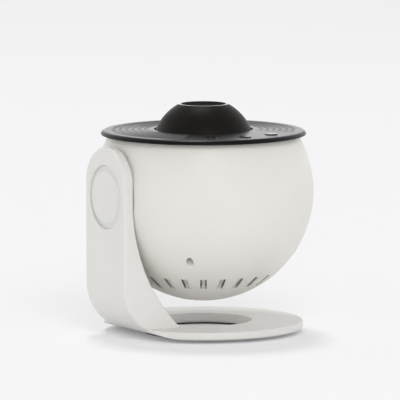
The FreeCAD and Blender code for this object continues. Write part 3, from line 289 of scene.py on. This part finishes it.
blackLook = {
    "cover": {"tint": colour(0.0045, 0.0045, 0.0048), "shade": colour(0.0070, 0.0070, 0.0075), "rough": 0.34,
              "specular": 0.12, "grain": (3200.0, 2.0), "bump": (0.000008, 0.5)},
    "dome": {"tint": colour(0.0080, 0.0066, 0.0056), "shade": colour(0.0105, 0.0090, 0.0078), "rough": 0.46,
             "specular": 0.09, "grain": (2800.0, 2.0), "bump": (0.000010, 0.5)},
    "button": {"tint": colour(0.0060, 0.0062, 0.0070), "shade": colour(0.0090, 0.0093, 0.0105), "rough": 0.13,
               "specular": 0.40, "grain": (2400.0, 2.0), "bump": (0.000005, 0.5)},
    "inside": {"tint": colour(0.020, 0.020, 0.021), "shade": colour(0.032, 0.032, 0.034), "rough": 0.62,
               "specular": 0.4, "grain": (1500.0, 2.0), "bump": (0.00003, 0.5)},
    "deck": {"tint": colour(0.055, 0.057, 0.062), "shade": colour(0.075, 0.077, 0.083), "rough": 0.58,
             "specular": 0.4, "grain": (1500.0, 2.0), "bump": (0.00003, 0.5)},
    "cloud": (22.0, 3.0),
    "cloudRange": (0.35, 0.65),
    "cloudRough": 0.02,
    "wipe": (90.0, 4.0),     # faint handling marks
    "wipeStretch": (1.0, 0.25, 1.0),
    "wipeRange": (0.5, 0.7),
    "wipeRough": 0.05,
    "grainRough": 0.08,
}


def startBlackPlastic(name, kind):
    look = blackLook
    finish = Finish(name)
    cloud = finish.noise(*look["cloud"])
    grain = finish.noise(*look[kind]["grain"])
    wipe = finish.noise(*look["wipe"], look["wipeStretch"])
    patches = finish.spread(cloud, 0.0, 1.0, *look["cloudRange"])
    dull = finish.spread(cloud, -look["cloudRough"], look["cloudRough"])
    wiped = finish.spread(wipe, 0.0, look["wipeRough"], *look["wipeRange"])
    finish.feed(Base_Color=finish.blend(patches, look[kind]["tint"], look[kind]["shade"]),
                Roughness=look[kind]["rough"] + dull + wiped + wobble(grain, look["grainRough"]),
                Specular_IOR_Level=look[kind]["specular"])
    finish.bump(grain, *look[kind]["bump"])
    return finish


def makeBlackPlastic(name, kind):
    return startBlackPlastic(name, kind).material


coverLook = {
    "rim": 0.0016,           # the coat ends this far in from the edge
    "belowTop": 0.0032,      # and this far down
    "coat": 0.67,
    "coatRough": 0.30,
    "seatEdge": 0.034,       # the upper side falls from here outwards
    "fall": 0.0182,          # its slope along the crests of the ripples
    "rippleDepth": 0.00045,
    "hollowFrom": 0.5,       # share of that depth from which the coat thins
    "hollowLoss": 0.60,      # share of the coat that the bottoms of the ripples lack
}


def makeCoverPlastic(name):
    # the cover's upper side has a coat that its rim lacks
    look = coverLook
    finish = startBlackPlastic(name, "cover")
    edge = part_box("top_cover")[1]
    far, height = finish.farAndHigh()
    upper = (far < edge.x - look["rim"]) * (height > edge.z - look["belowTop"])
    below = edge.z - (far - look["seatEdge"]) * look["fall"] - height
    deep = look["rippleDepth"]
    hollow = finish.spread(below, 1.0, 1.0 - look["hollowLoss"], deep * look["hollowFrom"], deep)
    finish.feed(Coat_Weight=upper * hollow * look["coat"], Coat_Roughness=look["coatRough"])
    return finish.material


lipLook = {
    "outer": 0.0172,         # radii of the flat land round the dome's opening
    "inner": 0.01545,
    "depth": 0.0009,
    "throatDepth": 0.006,
    # painted highlight: the throat inside the opening is drawn paler than the rest of the dome
    "throatHighlight": colour(0.030, 0.030, 0.031),
    "coatRough": 0.06,
}


def makeDomePlastic(name):
    # the land is polished, the throat is drawn paler as a painted highlight of light caught inside the
    # opening, and the rest finely textured
    look = lipLook
    finish = startBlackPlastic(name, "dome")
    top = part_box("focus_dome")[1].z
    far, height = finish.farAndHigh()
    land = (far < look["outer"]) * (height > top - look["depth"])
    throatHighlight = (far < look["inner"]) * (height > top - look["throatDepth"])
    paint = Signal(finish, finish.shader.inputs["Base Color"].links[0].from_socket)
    finish.feed(Base_Color=finish.blend(throatHighlight, paint, look["throatHighlight"]), Coat_Weight=land,
                Coat_Roughness=look["coatRough"])
    return finish.material


rubberLook = {
    "tint": colour(0.018, 0.018, 0.018),
    "dustTint": colour(0.050, 0.049, 0.047),
    "dust": (120.0, 4.0),
    "dustRange": (0.4, 0.8),
    "dustShare": 0.6,
    "grain": (1800.0, 3.0),
    "grainRough": 0.12,
    "grainShare": 0.3,
    "rough": 0.82,
    "specular": 0.3,
    "ringPitch": 0.0016,     # from one ring of the tread to the next
    "ringRange": (0.25, 0.5),  # where between groove and crest a ring's side rises
    "bump": (0.00012, 0.7),
}


def makeRubber(name):
    look = rubberLook
    finish = Finish(name)
    far = finish.farAndHigh()[0]
    half = look["ringPitch"] / 2
    ring = finish.add("ShaderNodeMath", {"operation": "PINGPONG"}, {0: far, 1: half}) / half
    grain = finish.noise(*look["grain"])
    dust = finish.spread(finish.noise(*look["dust"]), 0.0, look["dustShare"], *look["dustRange"])
    finish.feed(Base_Color=finish.blend(dust, look["tint"], look["dustTint"]),
                Roughness=look["rough"] + wobble(grain, look["grainRough"]),
                Specular_IOR_Level=look["specular"])
    tread = finish.spread(ring, 0.0, 1.0, *look["ringRange"])
    finish.bump(tread + grain * look["grainShare"], *look["bump"])
    return finish.material


metalLook = {
    "zinc": {"tint": colour(0.62, 0.62, 0.64), "shade": colour(0.50, 0.50, 0.54), "rough": 0.32},
    "aluminium": {"tint": colour(0.74, 0.75, 0.77), "shade": colour(0.64, 0.65, 0.68), "rough": 0.38},
    "spot": (260.0, 3.0),
    "spotRange": (0.35, 0.65),
    "streak": (900.0, 3.0),
    "streakStretch": (1.0, 1.0, 0.08),
    "streakRough": 0.18,
    "bump": (0.00001, 0.4),
}


def makeMetal(name, kind):
    look = metalLook
    finish = Finish(name)
    streak = finish.noise(*look["streak"], look["streakStretch"])
    spots = finish.spread(finish.noise(*look["spot"]), 0.0, 1.0, *look["spotRange"])
    finish.feed(Base_Color=finish.blend(spots, look[kind]["tint"], look[kind]["shade"]), Metallic=1.0,
                Roughness=look[kind]["rough"] + wobble(streak, look["streakRough"]))
    finish.bump(streak, *look["bump"])
    return finish.material


glassLook = {
    "tint": colour(0.80, 0.86, 0.96),
    "shade": colour(0.86, 0.84, 0.95),
    "smear": (120.0, 2.0),
    "smearRange": (0.3, 0.7),
    "smearRough": 0.03,
    "rough": 0.02,
    "clear": 0.92,
    "index": 1.50,
    "coat": 0.4,             # thin bluish coat against reflections
    "coatRough": 0.02,
    "coatTint": colour(0.70, 0.72, 1.0),
}


def makeGlass(name):
    look = glassLook
    finish = Finish(name)
    smear = finish.noise(*look["smear"])
    smears = finish.spread(smear, 0.0, 1.0, *look["smearRange"])
    finish.feed(Base_Color=finish.blend(smears, look["tint"], look["shade"]),
                Roughness=look["rough"] + smear * look["smearRough"],
                Transmission_Weight=look["clear"], IOR=look["index"],
                Coat_Weight=look["coat"], Coat_Roughness=look["coatRough"], Coat_Tint=look["coatTint"])
    return finish.material


acetalLook = {
    "tint": colour(0.72, 0.71, 0.66),
    "shade": colour(0.66, 0.65, 0.60),
    "cloud": (40.0, 2.0),
    "grain": (1300.0, 2.0),
    "grainRough": 0.1,
    "rough": 0.45,
    "bump": (0.00001, 0.5),
}


def makeAcetal(name):
    look = acetalLook
    finish = Finish(name)
    grain = finish.noise(*look["grain"])
    cloud = finish.noise(*look["cloud"])
    finish.feed(Base_Color=finish.blend(cloud, look["tint"], look["shade"]),
                Roughness=look["rough"] + wobble(grain, look["grainRough"]))
    finish.bump(grain, *look["bump"])
    return finish.material


filmLook = {
    "night": colour(0.006, 0.008, 0.022),
    "star": colour(0.75, 0.80, 0.95),
    "starScale": 900.0,
    "starRange": (0.05, 0.14),
    "band": (70.0, 5.0),     # of closer stars
    "bandRange": (0.4, 0.65),
    "bandFaintest": 0.2,
    "bandRough": 0.08,
    "rough": 0.12,
}


def makeStarFilm(name):
    look = filmLook
    finish = Finish(name)
    cells = {"Vector": finish.place, "Scale": look["starScale"]}
    stars = finish.add("ShaderNodeTexVoronoi", {"feature": "F1"}, cells, "Distance")
    band = finish.noise(*look["band"])
    glow = finish.spread(stars, 1.0, 0.0, *look["starRange"])
    glow = glow * finish.spread(band, look["bandFaintest"], 1.0, *look["bandRange"])
    finish.feed(Base_Color=finish.blend(glow, look["night"], look["star"]),
                Roughness=look["rough"] + band * look["bandRough"])
    return finish.material


boardLook = {
    "mask": colour(0.012, 0.085, 0.040),
    "trace": colour(0.030, 0.160, 0.075),
    "traceScale": 260.0,     # the traces are the edges between cells
    "traceOrder": 0.55,
    "traceWidth": 0.045,
    "traceShare": 0.7,       # of the bump, and the weave has the rest
    "weave": (1400.0, 2.0),
    "weaveRough": 0.12,
    "rough": 0.30,
    "bump": (0.00004, 0.7),
}


def makeCircuitBoard(name):
    look = boardLook
    finish = Finish(name)
    weave = finish.noise(*look["weave"])
    cells = {"Vector": finish.place, "Scale": look["traceScale"], "Randomness": look["traceOrder"]}
    edge = finish.add("ShaderNodeTexVoronoi", {"feature": "DISTANCE_TO_EDGE"}, cells, "Distance")
    trace = edge < look["traceWidth"]
    finish.feed(Base_Color=finish.blend(trace, look["mask"], look["trace"]),
                Roughness=look["rough"] + wobble(weave, look["weaveRough"]))
    finish.bump(trace * look["traceShare"] + weave * (1 - look["traceShare"]), *look["bump"])
    return finish.material


wrapLook = {
    "tint": colour(0.035, 0.095, 0.27),
    "worn": colour(0.08, 0.17, 0.38),
    "scuff": (400.0, 4.0),
    "scuffStretch": (0.1, 1.0, 1.0),
    "scuffRange": (0.5, 0.8),
    "scuffShare": 0.5,
    "scuffRough": 0.2,
    "rough": 0.28,
    "bump": (0.00002, 0.4),
}


def makeCellWrap(name):
    look = wrapLook
    finish = Finish(name)
    scuff = finish.noise(*look["scuff"], look["scuffStretch"])
    scuffs = finish.spread(scuff, 0.0, look["scuffShare"], *look["scuffRange"])
    finish.feed(Base_Color=finish.blend(scuffs, look["tint"], look["worn"]),
                Roughness=look["rough"] + wobble(scuff, look["scuffRough"]))
    finish.bump(scuff, *look["bump"])
    return finish.material


emitterLook = {
    "base": 0.0008,          # height of the ceramic under the phosphor
    "ceramic": colour(0.80, 0.80, 0.78),
    "ceramicShade": colour(0.72, 0.72, 0.70),
    "phosphor": colour(0.86, 0.72, 0.14),
    "grain": (1800.0, 3.0),
    "grainRough": 0.15,
    "rough": 0.22,
    "bump": (0.00001, 0.4),
}


def makeEmitter(name):
    look = emitterLook
    finish = Finish(name)
    height = finish.split(finish.place)[2]
    grain = finish.noise(*look["grain"])
    ceramic = finish.blend(grain, look["ceramic"], look["ceramicShade"])
    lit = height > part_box("led_emitter")[0].z + look["base"]
    finish.feed(Base_Color=finish.blend(lit, ceramic, look["phosphor"]),
                Roughness=look["rough"] + grain * look["grainRough"])
    finish.bump(grain, *look["bump"])
    return finish.material


boardPartsLook = {
    "chip": colour(0.016, 0.016, 0.017),
    "chipShade": colour(0.030, 0.030, 0.031),
    "can": colour(0.60, 0.60, 0.62),
    "canFrom": 0.006,        # the coils stand beyond this x
    "canShine": 0.22,        # how much less rough the coils are
    "grain": (1500.0, 3.0),
    "grainRough": 0.12,
    "rough": 0.55,
    "bump": (0.00002, 0.5),
}


def makeBoardParts(name):
    look = boardPartsLook
    finish = Finish(name)
    can = finish.split(finish.place)[0] > look["canFrom"]
    grain = finish.noise(*look["grain"])
    chip = finish.blend(grain, look["chip"], look["chipShade"])
    finish.feed(Base_Color=finish.blend(can, chip, look["can"]), Metallic=can,
                Roughness=look["rough"] - can * look["canShine"] + wobble(grain, look["grainRough"]))
    finish.bump(grain, *look["bump"])
    return finish.material


motorLook = {
    "can": colour(0.56, 0.56, 0.58),
    "gearbox": colour(0.72, 0.53, 0.24),
    "gearShare": 0.34,       # of the motor's height
    "streak": (700.0, 3.0),
    "streakStretch": (1.0, 1.0, 0.1),
    "streakRough": 0.2,
    "rough": 0.30,
    "bump": (0.00001, 0.4),
}


def makeMotorCan(name):
    look = motorLook
    finish = Finish(name)
    low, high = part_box("gear_motor")
    height = finish.split(finish.place)[2]
    streak = finish.noise(*look["streak"], look["streakStretch"])
    gearbox = height > high.z - (high.z - low.z) * look["gearShare"]
    finish.feed(Base_Color=finish.blend(gearbox, look["can"], look["gearbox"]), Metallic=1.0,
                Roughness=look["rough"] + wobble(streak, look["streakRough"]))
    finish.bump(streak, *look["bump"])
    return finish.material


switchLook = {
    "can": colour(0.58, 0.58, 0.60),
    "plunger": colour(0.018, 0.018, 0.019),
    "plungerShare": 0.4,     # of the switch's height
    "plungerRough": 0.2,
    "grain": (1500.0, 3.0),
    "grainRough": 0.1,
    "rough": 0.34,
    "bump": (0.00001, 0.4),
}


def makeSwitchParts(name):
    look = switchLook
    finish = Finish(name)
    low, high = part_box("tact_switches")
    height = finish.split(finish.place)[2]
    grain = finish.noise(*look["grain"])
    plunger = height > high.z - (high.z - low.z) * look["plungerShare"]
    finish.feed(Base_Color=finish.blend(plunger, look["can"], look["plunger"]), Metallic=1.0 - plunger,
                Roughness=look["rough"] + plunger * look["plungerRough"] + wobble(grain, look["grainRough"]))
    finish.bump(grain, *look["bump"])
    return finish.material


goldLook = {
    "tint": colour(0.90, 0.66, 0.26),
    "shade": colour(0.74, 0.55, 0.26),
    "wear": (2400.0, 3.0),
    "wearRange": (0.4, 0.7),
    "wearRough": 0.12,
    "rough": 0.24,
}


def makeContactGold(name):
    look = goldLook
    finish = Finish(name)
    wear = finish.noise(*look["wear"])
    worn = finish.spread(wear, 0.0, 1.0, *look["wearRange"])
    finish.feed(Base_Color=finish.blend(worn, look["tint"], look["shade"]), Metallic=1.0,
                Roughness=look["rough"] + wear * look["wearRough"])
    return finish.material


# one finish for each of the record's material slots
finishes = {
    # the shell gets painted shade in its vent slots and screw wells
    "shell_plastic": makeHousingPlastic("shellPlastic", "shell", paintedShade=True),
    "stand_plastic": makeHousingPlastic("standPlastic", "stand"),
    "cover_plastic": makeCoverPlastic("coverPlastic"),
    "dome_plastic": makeDomePlastic("domePlastic"),
    "button_plastic": makeBlackPlastic("buttonPlastic", "button"),
    "black_plastic": makeBlackPlastic("innerBlackPlastic", "inside"),
    "inner_plastic": makeBlackPlastic("deckPlastic", "deck"),
    "slide_plastic": makeAcetal("acetal"),
    "foot_rubber": makeRubber("footRubber"),
    "steel": makeMetal("zincSteel", "zinc"),
    "aluminium": makeMetal("bareAluminium", "aluminium"),
    "lens_glass": makeGlass("coatedGlass"),
    "film": makeStarFilm("starFilm"),
    "board": makeCircuitBoard("circuitBoard"),
    "cell_wrap": makeCellWrap("cellWrap"),
}

# pieces whose own finish differs from the rest of their slot
ownFinish = {
    "vent_baffle": makeBafflePlastic("bafflePlastic"),
    "led_emitter": makeEmitter("ledEmitter"),
    "board_components": makeBoardParts("boardParts"),
    "gear_motor": makeMotorCan("motorCan"),
    "tact_switches": makeSwitchParts("switchParts"),
}

slotOf = {part["node"]: part["material_slot"] for part in frame["record"]["subparts"]}
for name, node in nodes.items():
    node.data.materials.clear()
    node.data.materials.append(ownFinish.get(name) or finishes[slotOf[name]])
print("finishes on the frame:", len(finishes) + len(ownFinish))


# modelling helpers
modelling = {
    "facing": 0.9,           # a face points a way if its normal has at least this share of it
    "mergeWithin": 1e-7,
    "smoothBelow": 35.0,     # degrees between two faces
}

upwards = Vector((0, 0, 1))
downwards = Vector((0, 0, -1))
outOfPort = Vector((0, 1, 0))


def chooseFaces(piece, way):
    # selects the faces that point a way, and goes into edit mode on them
    bpy.ops.object.mode_set(mode="EDIT")
    bpy.ops.mesh.select_mode(type="FACE")
    bpy.ops.mesh.select_all(action="DESELECT")
    bpy.ops.object.mode_set(mode="OBJECT")
    for face in piece.data.polygons:
        face.select = face.normal.dot(way) > modelling["facing"]
    bpy.ops.object.mode_set(mode="EDIT")


def roundEdges(offset, steps):
    # rounds the outline of the chosen faces
    bpy.ops.mesh.region_to_loop()
    bpy.ops.mesh.bevel(offset=offset, segments=steps, affect="EDGES")


def extrudeFaces(x, y, z):
    bpy.ops.mesh.extrude_region_move(TRANSFORM_OT_translate={"value": (x, y, z)})


def resizeFaces(x, y):
    bpy.ops.transform.resize(value=(x, y, 1), center_override=(0, 0, 0))


def closePiece(piece, name, finish):
    bpy.ops.object.mode_set(mode="OBJECT")
    bpy.ops.object.select_all(action="DESELECT")
    piece.select_set(True)
    bpy.context.view_layer.objects.active = piece
    bpy.ops.object.transform_apply(location=True, rotation=True, scale=True)
    bpy.ops.object.mode_set(mode="EDIT")
    bpy.ops.mesh.select_all(action="SELECT")
    bpy.ops.mesh.remove_doubles(threshold=modelling["mergeWithin"])
    bpy.ops.mesh.normals_make_consistent(inside=False)
    bpy.ops.object.mode_set(mode="OBJECT")
    bpy.ops.object.shade_smooth_by_angle(angle=math.radians(modelling["smoothBelow"]))
    piece.name = name
    piece.data.name = name
    piece.data.materials.clear()
    piece.data.materials.append(finish)
    return piece


def copyPiece(piece, place, turn):
    twin = piece.copy()
    twin.data = piece.data.copy()
    bpy.context.scene.collection.objects.link(twin)
    twin.location = place
    twin.rotation_euler = turn
    return twin


def joinPieces(pieces):
    bpy.ops.object.select_all(action="DESELECT")
    for piece in pieces:
        piece.select_set(True)
    bpy.context.view_layer.objects.active = pieces[0]
    bpy.ops.object.transform_apply(location=True, rotation=True, scale=True)
    if len(pieces) > 1:
        bpy.ops.object.join()
    return pieces[0]


# screws, with a cross recess and a thread
screwLook = {
    "sides": 32,
    "rounding": 0.30,        # of the head's height
    "roundingSteps": 3,
    "recessReach": 0.62,     # of the head's radius
    "recessWidth": 0.20,
    "recessDepth": 0.62,     # of the head's height
    "recessTip": (0.45, 0.7),  # how narrow the recess is at its bottom
    "cutterClear": 0.1,      # of the head's height, that the cutter stands above it
    "pitch": 0.0007,
    "threadDepth": 0.86,     # radius at the root, of the radius at the crest
    "tip": 0.55,             # radius at the tip, of the radius at the crest
    "sameScrew": 0.0076,     # points of a node nearer than this belong to one screw
    "sameHeight": 1e-5,
    "sameRadius": 0.99,
}

# nodes, and the axis that their screws lie along
screwNodes = {
    "housing_screws": 2,
    "deck_screws": 2,
    "guide_screws": 2,
    "lamp_screws": 2,
    "heat_sink_screws": 2,
    "main_board_screws": 2,
    "battery_screws": 2,
    "button_board_screws": 2,
    "motor_screws": 2,
    "hub_screws": 0,
    "pivot_screw": 0,
}


def groupPoints(name, along, across):
    # the points of a node, one group for each screw, as places across its axis and heights along it
    groups = []
    for vertex in nodes[name].data.vertices:
        spot = Vector([vertex.co[axis] for axis in across])
        home = next((group for group in groups if (group[0][0] - spot).length < screwLook["sameScrew"]), None)
        if home is None:
            home = []
            groups.append(home)
        home.append((spot, vertex.co[along]))
    return groups


def screwsIn(name, along):
    # where each screw of a node is, how far it reaches, and its radii, all read from the frame
    across = [axis for axis in range(3) if axis != along]
    for group in groupPoints(name, along, across):
        sides = [[spot[k] for spot, height in group] for k in range(2)]
        middle = Vector([(min(side) + max(side)) / 2 for side in sides])
        points = [((spot - middle).length, height) for spot, height in group]
        low = min(height for radius, height in points)
        high = max(height for radius, height in points)
        atLow = max(radius for radius, height in points if height < low + screwLook["sameHeight"])
        atHigh = max(radius for radius, height in points if height > high - screwLook["sameHeight"])
        head = max(radius for radius, height in points)
        headUp = atHigh > head * screwLook["sameRadius"]
        wide = [height for radius, height in points if radius > head * screwLook["sameRadius"]]
        seat = min(wide) if headUp else max(wide)
        place = Vector((0, 0, 0))
        place[across[0]] = middle[0]
        place[across[1]] = middle[1]
        place[along] = seat
        yield {
            "place": place,
            "headUp": headUp,
            "head": head,
            "shank": atLow if headUp else atHigh,
            "headHeight": max(wide) - min(wide),
            "length": abs(seat - (low if headUp else high)),
        }


def makeScrew(facts):
    head, tall, shank = facts["head"], facts["headHeight"], facts["shank"]
    bpy.ops.object.select_all(action="DESELECT")
    bpy.ops.mesh.primitive_cylinder_add(vertices=screwLook["sides"], radius=head, depth=tall,
                                        location=(0, 0, tall / 2))
    screw = bpy.context.object
    bpy.ops.object.transform_apply(location=True, rotation=False, scale=False)
    chooseFaces(screw, upwards)
    roundEdges(tall * screwLook["rounding"], screwLook["roundingSteps"])
    chooseFaces(screw, downwards)
    bpy.ops.mesh.inset(thickness=head - shank)
    turns = max(2, int(facts["length"] / screwLook["pitch"]) - 1)
    step = facts["length"] / (turns + 1)
    for turn in range(turns):
        for ratio in (screwLook["threadDepth"], 1 / screwLook["threadDepth"]):
            extrudeFaces(0, 0, -step / 2)
            resizeFaces(ratio, ratio)
    extrudeFaces(0, 0, -step)
    resizeFaces(screwLook["tip"], screwLook["tip"])
    bpy.ops.object.mode_set(mode="OBJECT")
    for cutter in [makeRecessCutter(head, tall, turn) for turn in (0.0, math.pi / 2)]:
        cut = screw.modifiers.new("recess", "BOOLEAN")
        cut.object = cutter
        cut.operation = "DIFFERENCE"
        cut.solver = "EXACT"
        bpy.context.view_layer.objects.active = screw
        bpy.ops.object.modifier_apply(modifier=cut.name)
        bpy.data.objects.remove(cutter)
    return screw


def makeRecessCutter(head, tall, turn):
    # a wedge, and two of them crossed cut the recess
    reach = head * screwLook["recessReach"]
    width = head * screwLook["recessWidth"]
    deep = tall * screwLook["recessDepth"]
    clear = tall * screwLook["cutterClear"]
    bpy.ops.object.select_all(action="DESELECT")
    bpy.ops.mesh.primitive_cube_add(size=1, location=(0, 0, tall - deep / 2 + clear / 2),
                                    scale=(2 * reach, 2 * width, deep + clear))
    cutter = bpy.context.object
    bpy.ops.object.transform_apply(location=True, rotation=False, scale=True)
    chooseFaces(cutter, downwards)
    resizeFaces(*screwLook["recessTip"])
    bpy.ops.object.mode_set(mode="OBJECT")
    cutter.rotation_euler = (0, 0, turn)
    bpy.ops.object.transform_apply(location=False, rotation=True, scale=False)
    return cutter


def makeScrewSet(name, along):
    found = list(screwsIn(name, along))
    model = makeScrew(found[0])
    axis = Vector([1.0 if k == along else 0.0 for k in range(3)])
    copies = []
    for facts in found:
        towards = axis if facts["headUp"] else -axis
        copies.append(copyPiece(model, facts["place"], towards.to_track_quat("Z", "Y").to_euler()))
    bpy.data.objects.remove(model)
    first, *rest = name.split("_")
    title = first + "".join(word.capitalize() for word in rest) + "Threaded"
    piece = closePiece(joinPieces(copies), title, finishes["steel"])
    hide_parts(name)
    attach(piece, body_of(nodes[name])[0])
    return len(copies)


print("threaded screws:", sum(makeScrewSet(name, along) for name, along in screwNodes.items()))


# charging port: a drawn shell, its tongue and the contacts on it
portLook = {
    "sides": 32,
    "wall": 0.00035,
    "floor": 0.0010,         # solid part at the inner end
    "tongueWidth": 0.0064,
    "tongueThick": 0.0007,
    "tongueBack": 0.0010,    # of the tongue's tip behind the mouth
    "tongueRounding": 0.2,   # of its thickness
    "tongueSteps": 2,
    "contacts": 12,          # on each side
    "pitch": 0.0005,
    "contactWidth": 0.00026,
    "contactLength": 0.0030,
    "contactProud": 0.00003,
    "contactEdge": 0.2,      # of its width, that slopes up to the raised middle
    "contactBack": 0.0003,   # behind the tongue's tip
    "offMiddle": 1e-5,       # points further out than this belong to one round end
}


def makePortShell(low, high):
    radius = (high.z - low.z) / 2
    straight = (high.x - low.x) / 2 - radius
    bpy.ops.object.select_all(action="DESELECT")
    bpy.ops.mesh.primitive_cylinder_add(vertices=portLook["sides"], radius=radius, depth=high.y - low.y,
                                        location=(low + high) / 2, rotation=(math.pi / 2, 0, 0))
    shell = bpy.context.object
    bpy.ops.object.transform_apply(location=True, rotation=True, scale=True)
    for side in (-1, 1):  # the round's two halves are drawn apart
        bpy.ops.object.mode_set(mode="EDIT")
        bpy.ops.mesh.select_mode(type="VERT")
        bpy.ops.mesh.select_all(action="DESELECT")
        bpy.ops.object.mode_set(mode="OBJECT")
        for vertex in shell.data.vertices:
            vertex.select = vertex.co.x * side > portLook["offMiddle"]
        bpy.ops.object.mode_set(mode="EDIT")
        bpy.ops.transform.translate(value=(side * straight, 0, 0))
        bpy.ops.object.mode_set(mode="OBJECT")
    chooseFaces(shell, outOfPort)
    bpy.ops.mesh.inset(thickness=portLook["wall"])
    extrudeFaces(0, low.y + portLook["floor"] - high.y, 0)
    shell = closePiece(shell, "portShell", finishes["steel"])
    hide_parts("charging_port")
    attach(shell, "head")


def makePortTongue(low, high):
    back = low.y + portLook["floor"]
    front = high.y - portLook["tongueBack"]
    bpy.ops.object.select_all(action="DESELECT")
    bpy.ops.mesh.primitive_cube_add(size=1, location=(0, (back + front) / 2, (low.z + high.z) / 2),
                                    scale=(portLook["tongueWidth"], front - back, portLook["tongueThick"]))
    tongue = bpy.context.object
    bpy.ops.object.transform_apply(location=True, rotation=False, scale=True)
    chooseFaces(tongue, outOfPort)
    roundEdges(portLook["tongueThick"] * portLook["tongueRounding"], portLook["tongueSteps"])
    tongue = closePiece(tongue, "portTongue", finishes["black_plastic"])
    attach(tongue, "head")


def makePortContacts(low, high):
    width, length, proud = portLook["contactWidth"], portLook["contactLength"], portLook["contactProud"]
    bpy.ops.object.select_all(action="DESELECT")
    bpy.ops.mesh.primitive_cube_add(size=1, scale=(width, length, proud * 2))
    contact = bpy.context.object
    bpy.ops.object.transform_apply(location=False, rotation=False, scale=True)
    chooseFaces(contact, upwards)
    bpy.ops.mesh.inset(thickness=width * portLook["contactEdge"])
    extrudeFaces(0, 0, proud / 2)
    bpy.ops.object.mode_set(mode="OBJECT")
    y = high.y - portLook["tongueBack"] - portLook["contactBack"] - length / 2
    copies = []
    for side in (-1, 1):
        turn = (0, 0, 0) if side > 0 else (math.pi, 0, 0)
        for k in range(portLook["contacts"]):
            x = (k - (portLook["contacts"] - 1) / 2) * portLook["pitch"]
            z = (low.z + high.z) / 2 + side * portLook["tongueThick"] / 2
            copies.append(copyPiece(contact, (x, y, z), turn))
    bpy.data.objects.remove(contact)
    piece = closePiece(joinPieces(copies), "portContacts", makeContactGold("contactGold"))
    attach(piece, "head")


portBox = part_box("charging_port")
makePortShell(*portBox)
makePortTongue(*portBox)
makePortContacts(*portBox)
print("charging port made")


# floor, light and camera
floorLook = {
    "size": 14.0,
    "tint": colour(0.975, 0.975, 0.985),
    "rough": 0.9,
    "glow": colour(0.955, 0.955, 0.980),  # the floor's own share in what is seen of it
    "glowShare": 0.15,
}


def makeFloor():
    look = floorLook
    bpy.ops.object.select_all(action="DESELECT")
    bpy.ops.mesh.primitive_plane_add(size=look["size"], location=(0, 0, 0))
    floor = bpy.context.object
    floor.name = "studioFloor"
    finish = Finish("floorPaper")
    finish.feed(Base_Color=look["tint"], Roughness=look["rough"], Specular_IOR_Level=0.0)
    rays = finish.add("ShaderNodeLightPath", {}, {}).socket.node.outputs
    seen = Signal(finish, rays["Is Camera Ray"]) + Signal(finish, rays["Is Glossy Ray"])
    seen = seen + Signal(finish, rays["Is Transmission Ray"])
    glow = finish.add("ShaderNodeEmission", {}, {"Color": look["glow"], "Strength": 1.0})
    paper = Signal(finish, finish.shader.outputs[0])
    lift = finish.spread(seen, 0.0, look["glowShare"])
    mixed = finish.add("ShaderNodeMixShader", {}, {0: lift, 1: paper, 2: glow})
    finish.connect(mixed, finish.tree.nodes["Material Output"].inputs["Surface"])
    floor.data.materials.append(finish.material)


lightLook = {
    "sky": colour(1.0, 1.0, 1.0),
    "horizon": 1.54,
    "zenith": 0.15,
    "aim": (0, 0, 0.1),
    "softboxes": {
        "keySoftbox": {"place": (0.6, 1.8, 5.2), "size": 1.2, "power": 72.0},
        "frontSoftbox": {"place": (-1.2, -3.2, 2.6), "size": 2.0, "power": 36.0},
    },
}


def makeLights():
    look = lightLook
    world = bpy.data.worlds.new("studioWorld")
    bpy.context.scene.world = world
    world.use_nodes = True
    sky = Graph(world.node_tree)
    light = sky.tree.nodes["Background"]
    sky.connect(look["sky"], light.inputs["Color"])
    height = sky.split(sky.add("ShaderNodeTexCoord", {}, {}, "Generated"))[2]
    sky.connect(sky.spread(height, look["horizon"], look["zenith"]), light.inputs["Strength"])
    for name, box in look["softboxes"].items():
        lamp = bpy.data.lights.new(name, "AREA")
        lamp.shape = "DISK"
        lamp.size = box["size"]
        lamp.energy = box["power"]
        holder = bpy.data.objects.new(name, lamp)
        holder.location = box["place"]
        towards = Vector(look["aim"]) - Vector(box["place"])
        holder.rotation_euler = towards.to_track_quat("-Z", "Y").to_euler()
        bpy.context.scene.collection.objects.link(holder)


cameraLook = {
    "azimuth": -30.0,        # degrees from the front, and above the level
    "elevation": 6.8,
    "away": 5.0,
    "width": 0.2728,         # of the view at that distance
    "pixels": 400,           # across the view
    "sideways": 3.5,         # pixels that the aim lies from the ball's middle
    "downwards": 9.5,
    "sensor": 36.0,
    "clip": (0.1, 100.0),
}


def makeCamera():
    look = cameraLook
    turn = math.radians(look["azimuth"])
    tilt = math.radians(look["elevation"])
    back = Vector((math.sin(turn) * math.cos(tilt), -math.cos(turn) * math.cos(tilt), math.sin(tilt)))
    right = Vector((math.cos(turn), math.sin(turn), 0))
    up = back.cross(right)
    pixel = look["width"] / look["pixels"]
    aim = Vector(ballShape["middle"]) - right * look["sideways"] * pixel - up * look["downwards"] * pixel
    camera = bpy.data.cameras.new("studioCamera")
    camera.sensor_width = look["sensor"]
    camera.lens = look["sensor"] * look["away"] / look["width"]
    camera.clip_start, camera.clip_end = look["clip"]
    holder = bpy.data.objects.new("studioCamera", camera)
    holder.location = aim + back * look["away"]
    holder.rotation_euler = back.to_track_quat("Z", "Y").to_euler()
    bpy.context.scene.collection.objects.link(holder)
    bpy.context.scene.camera = holder


makeFloor()
makeLights()
makeCamera()
bpy.context.scene.view_settings.view_transform = "Standard"
print("studio set")
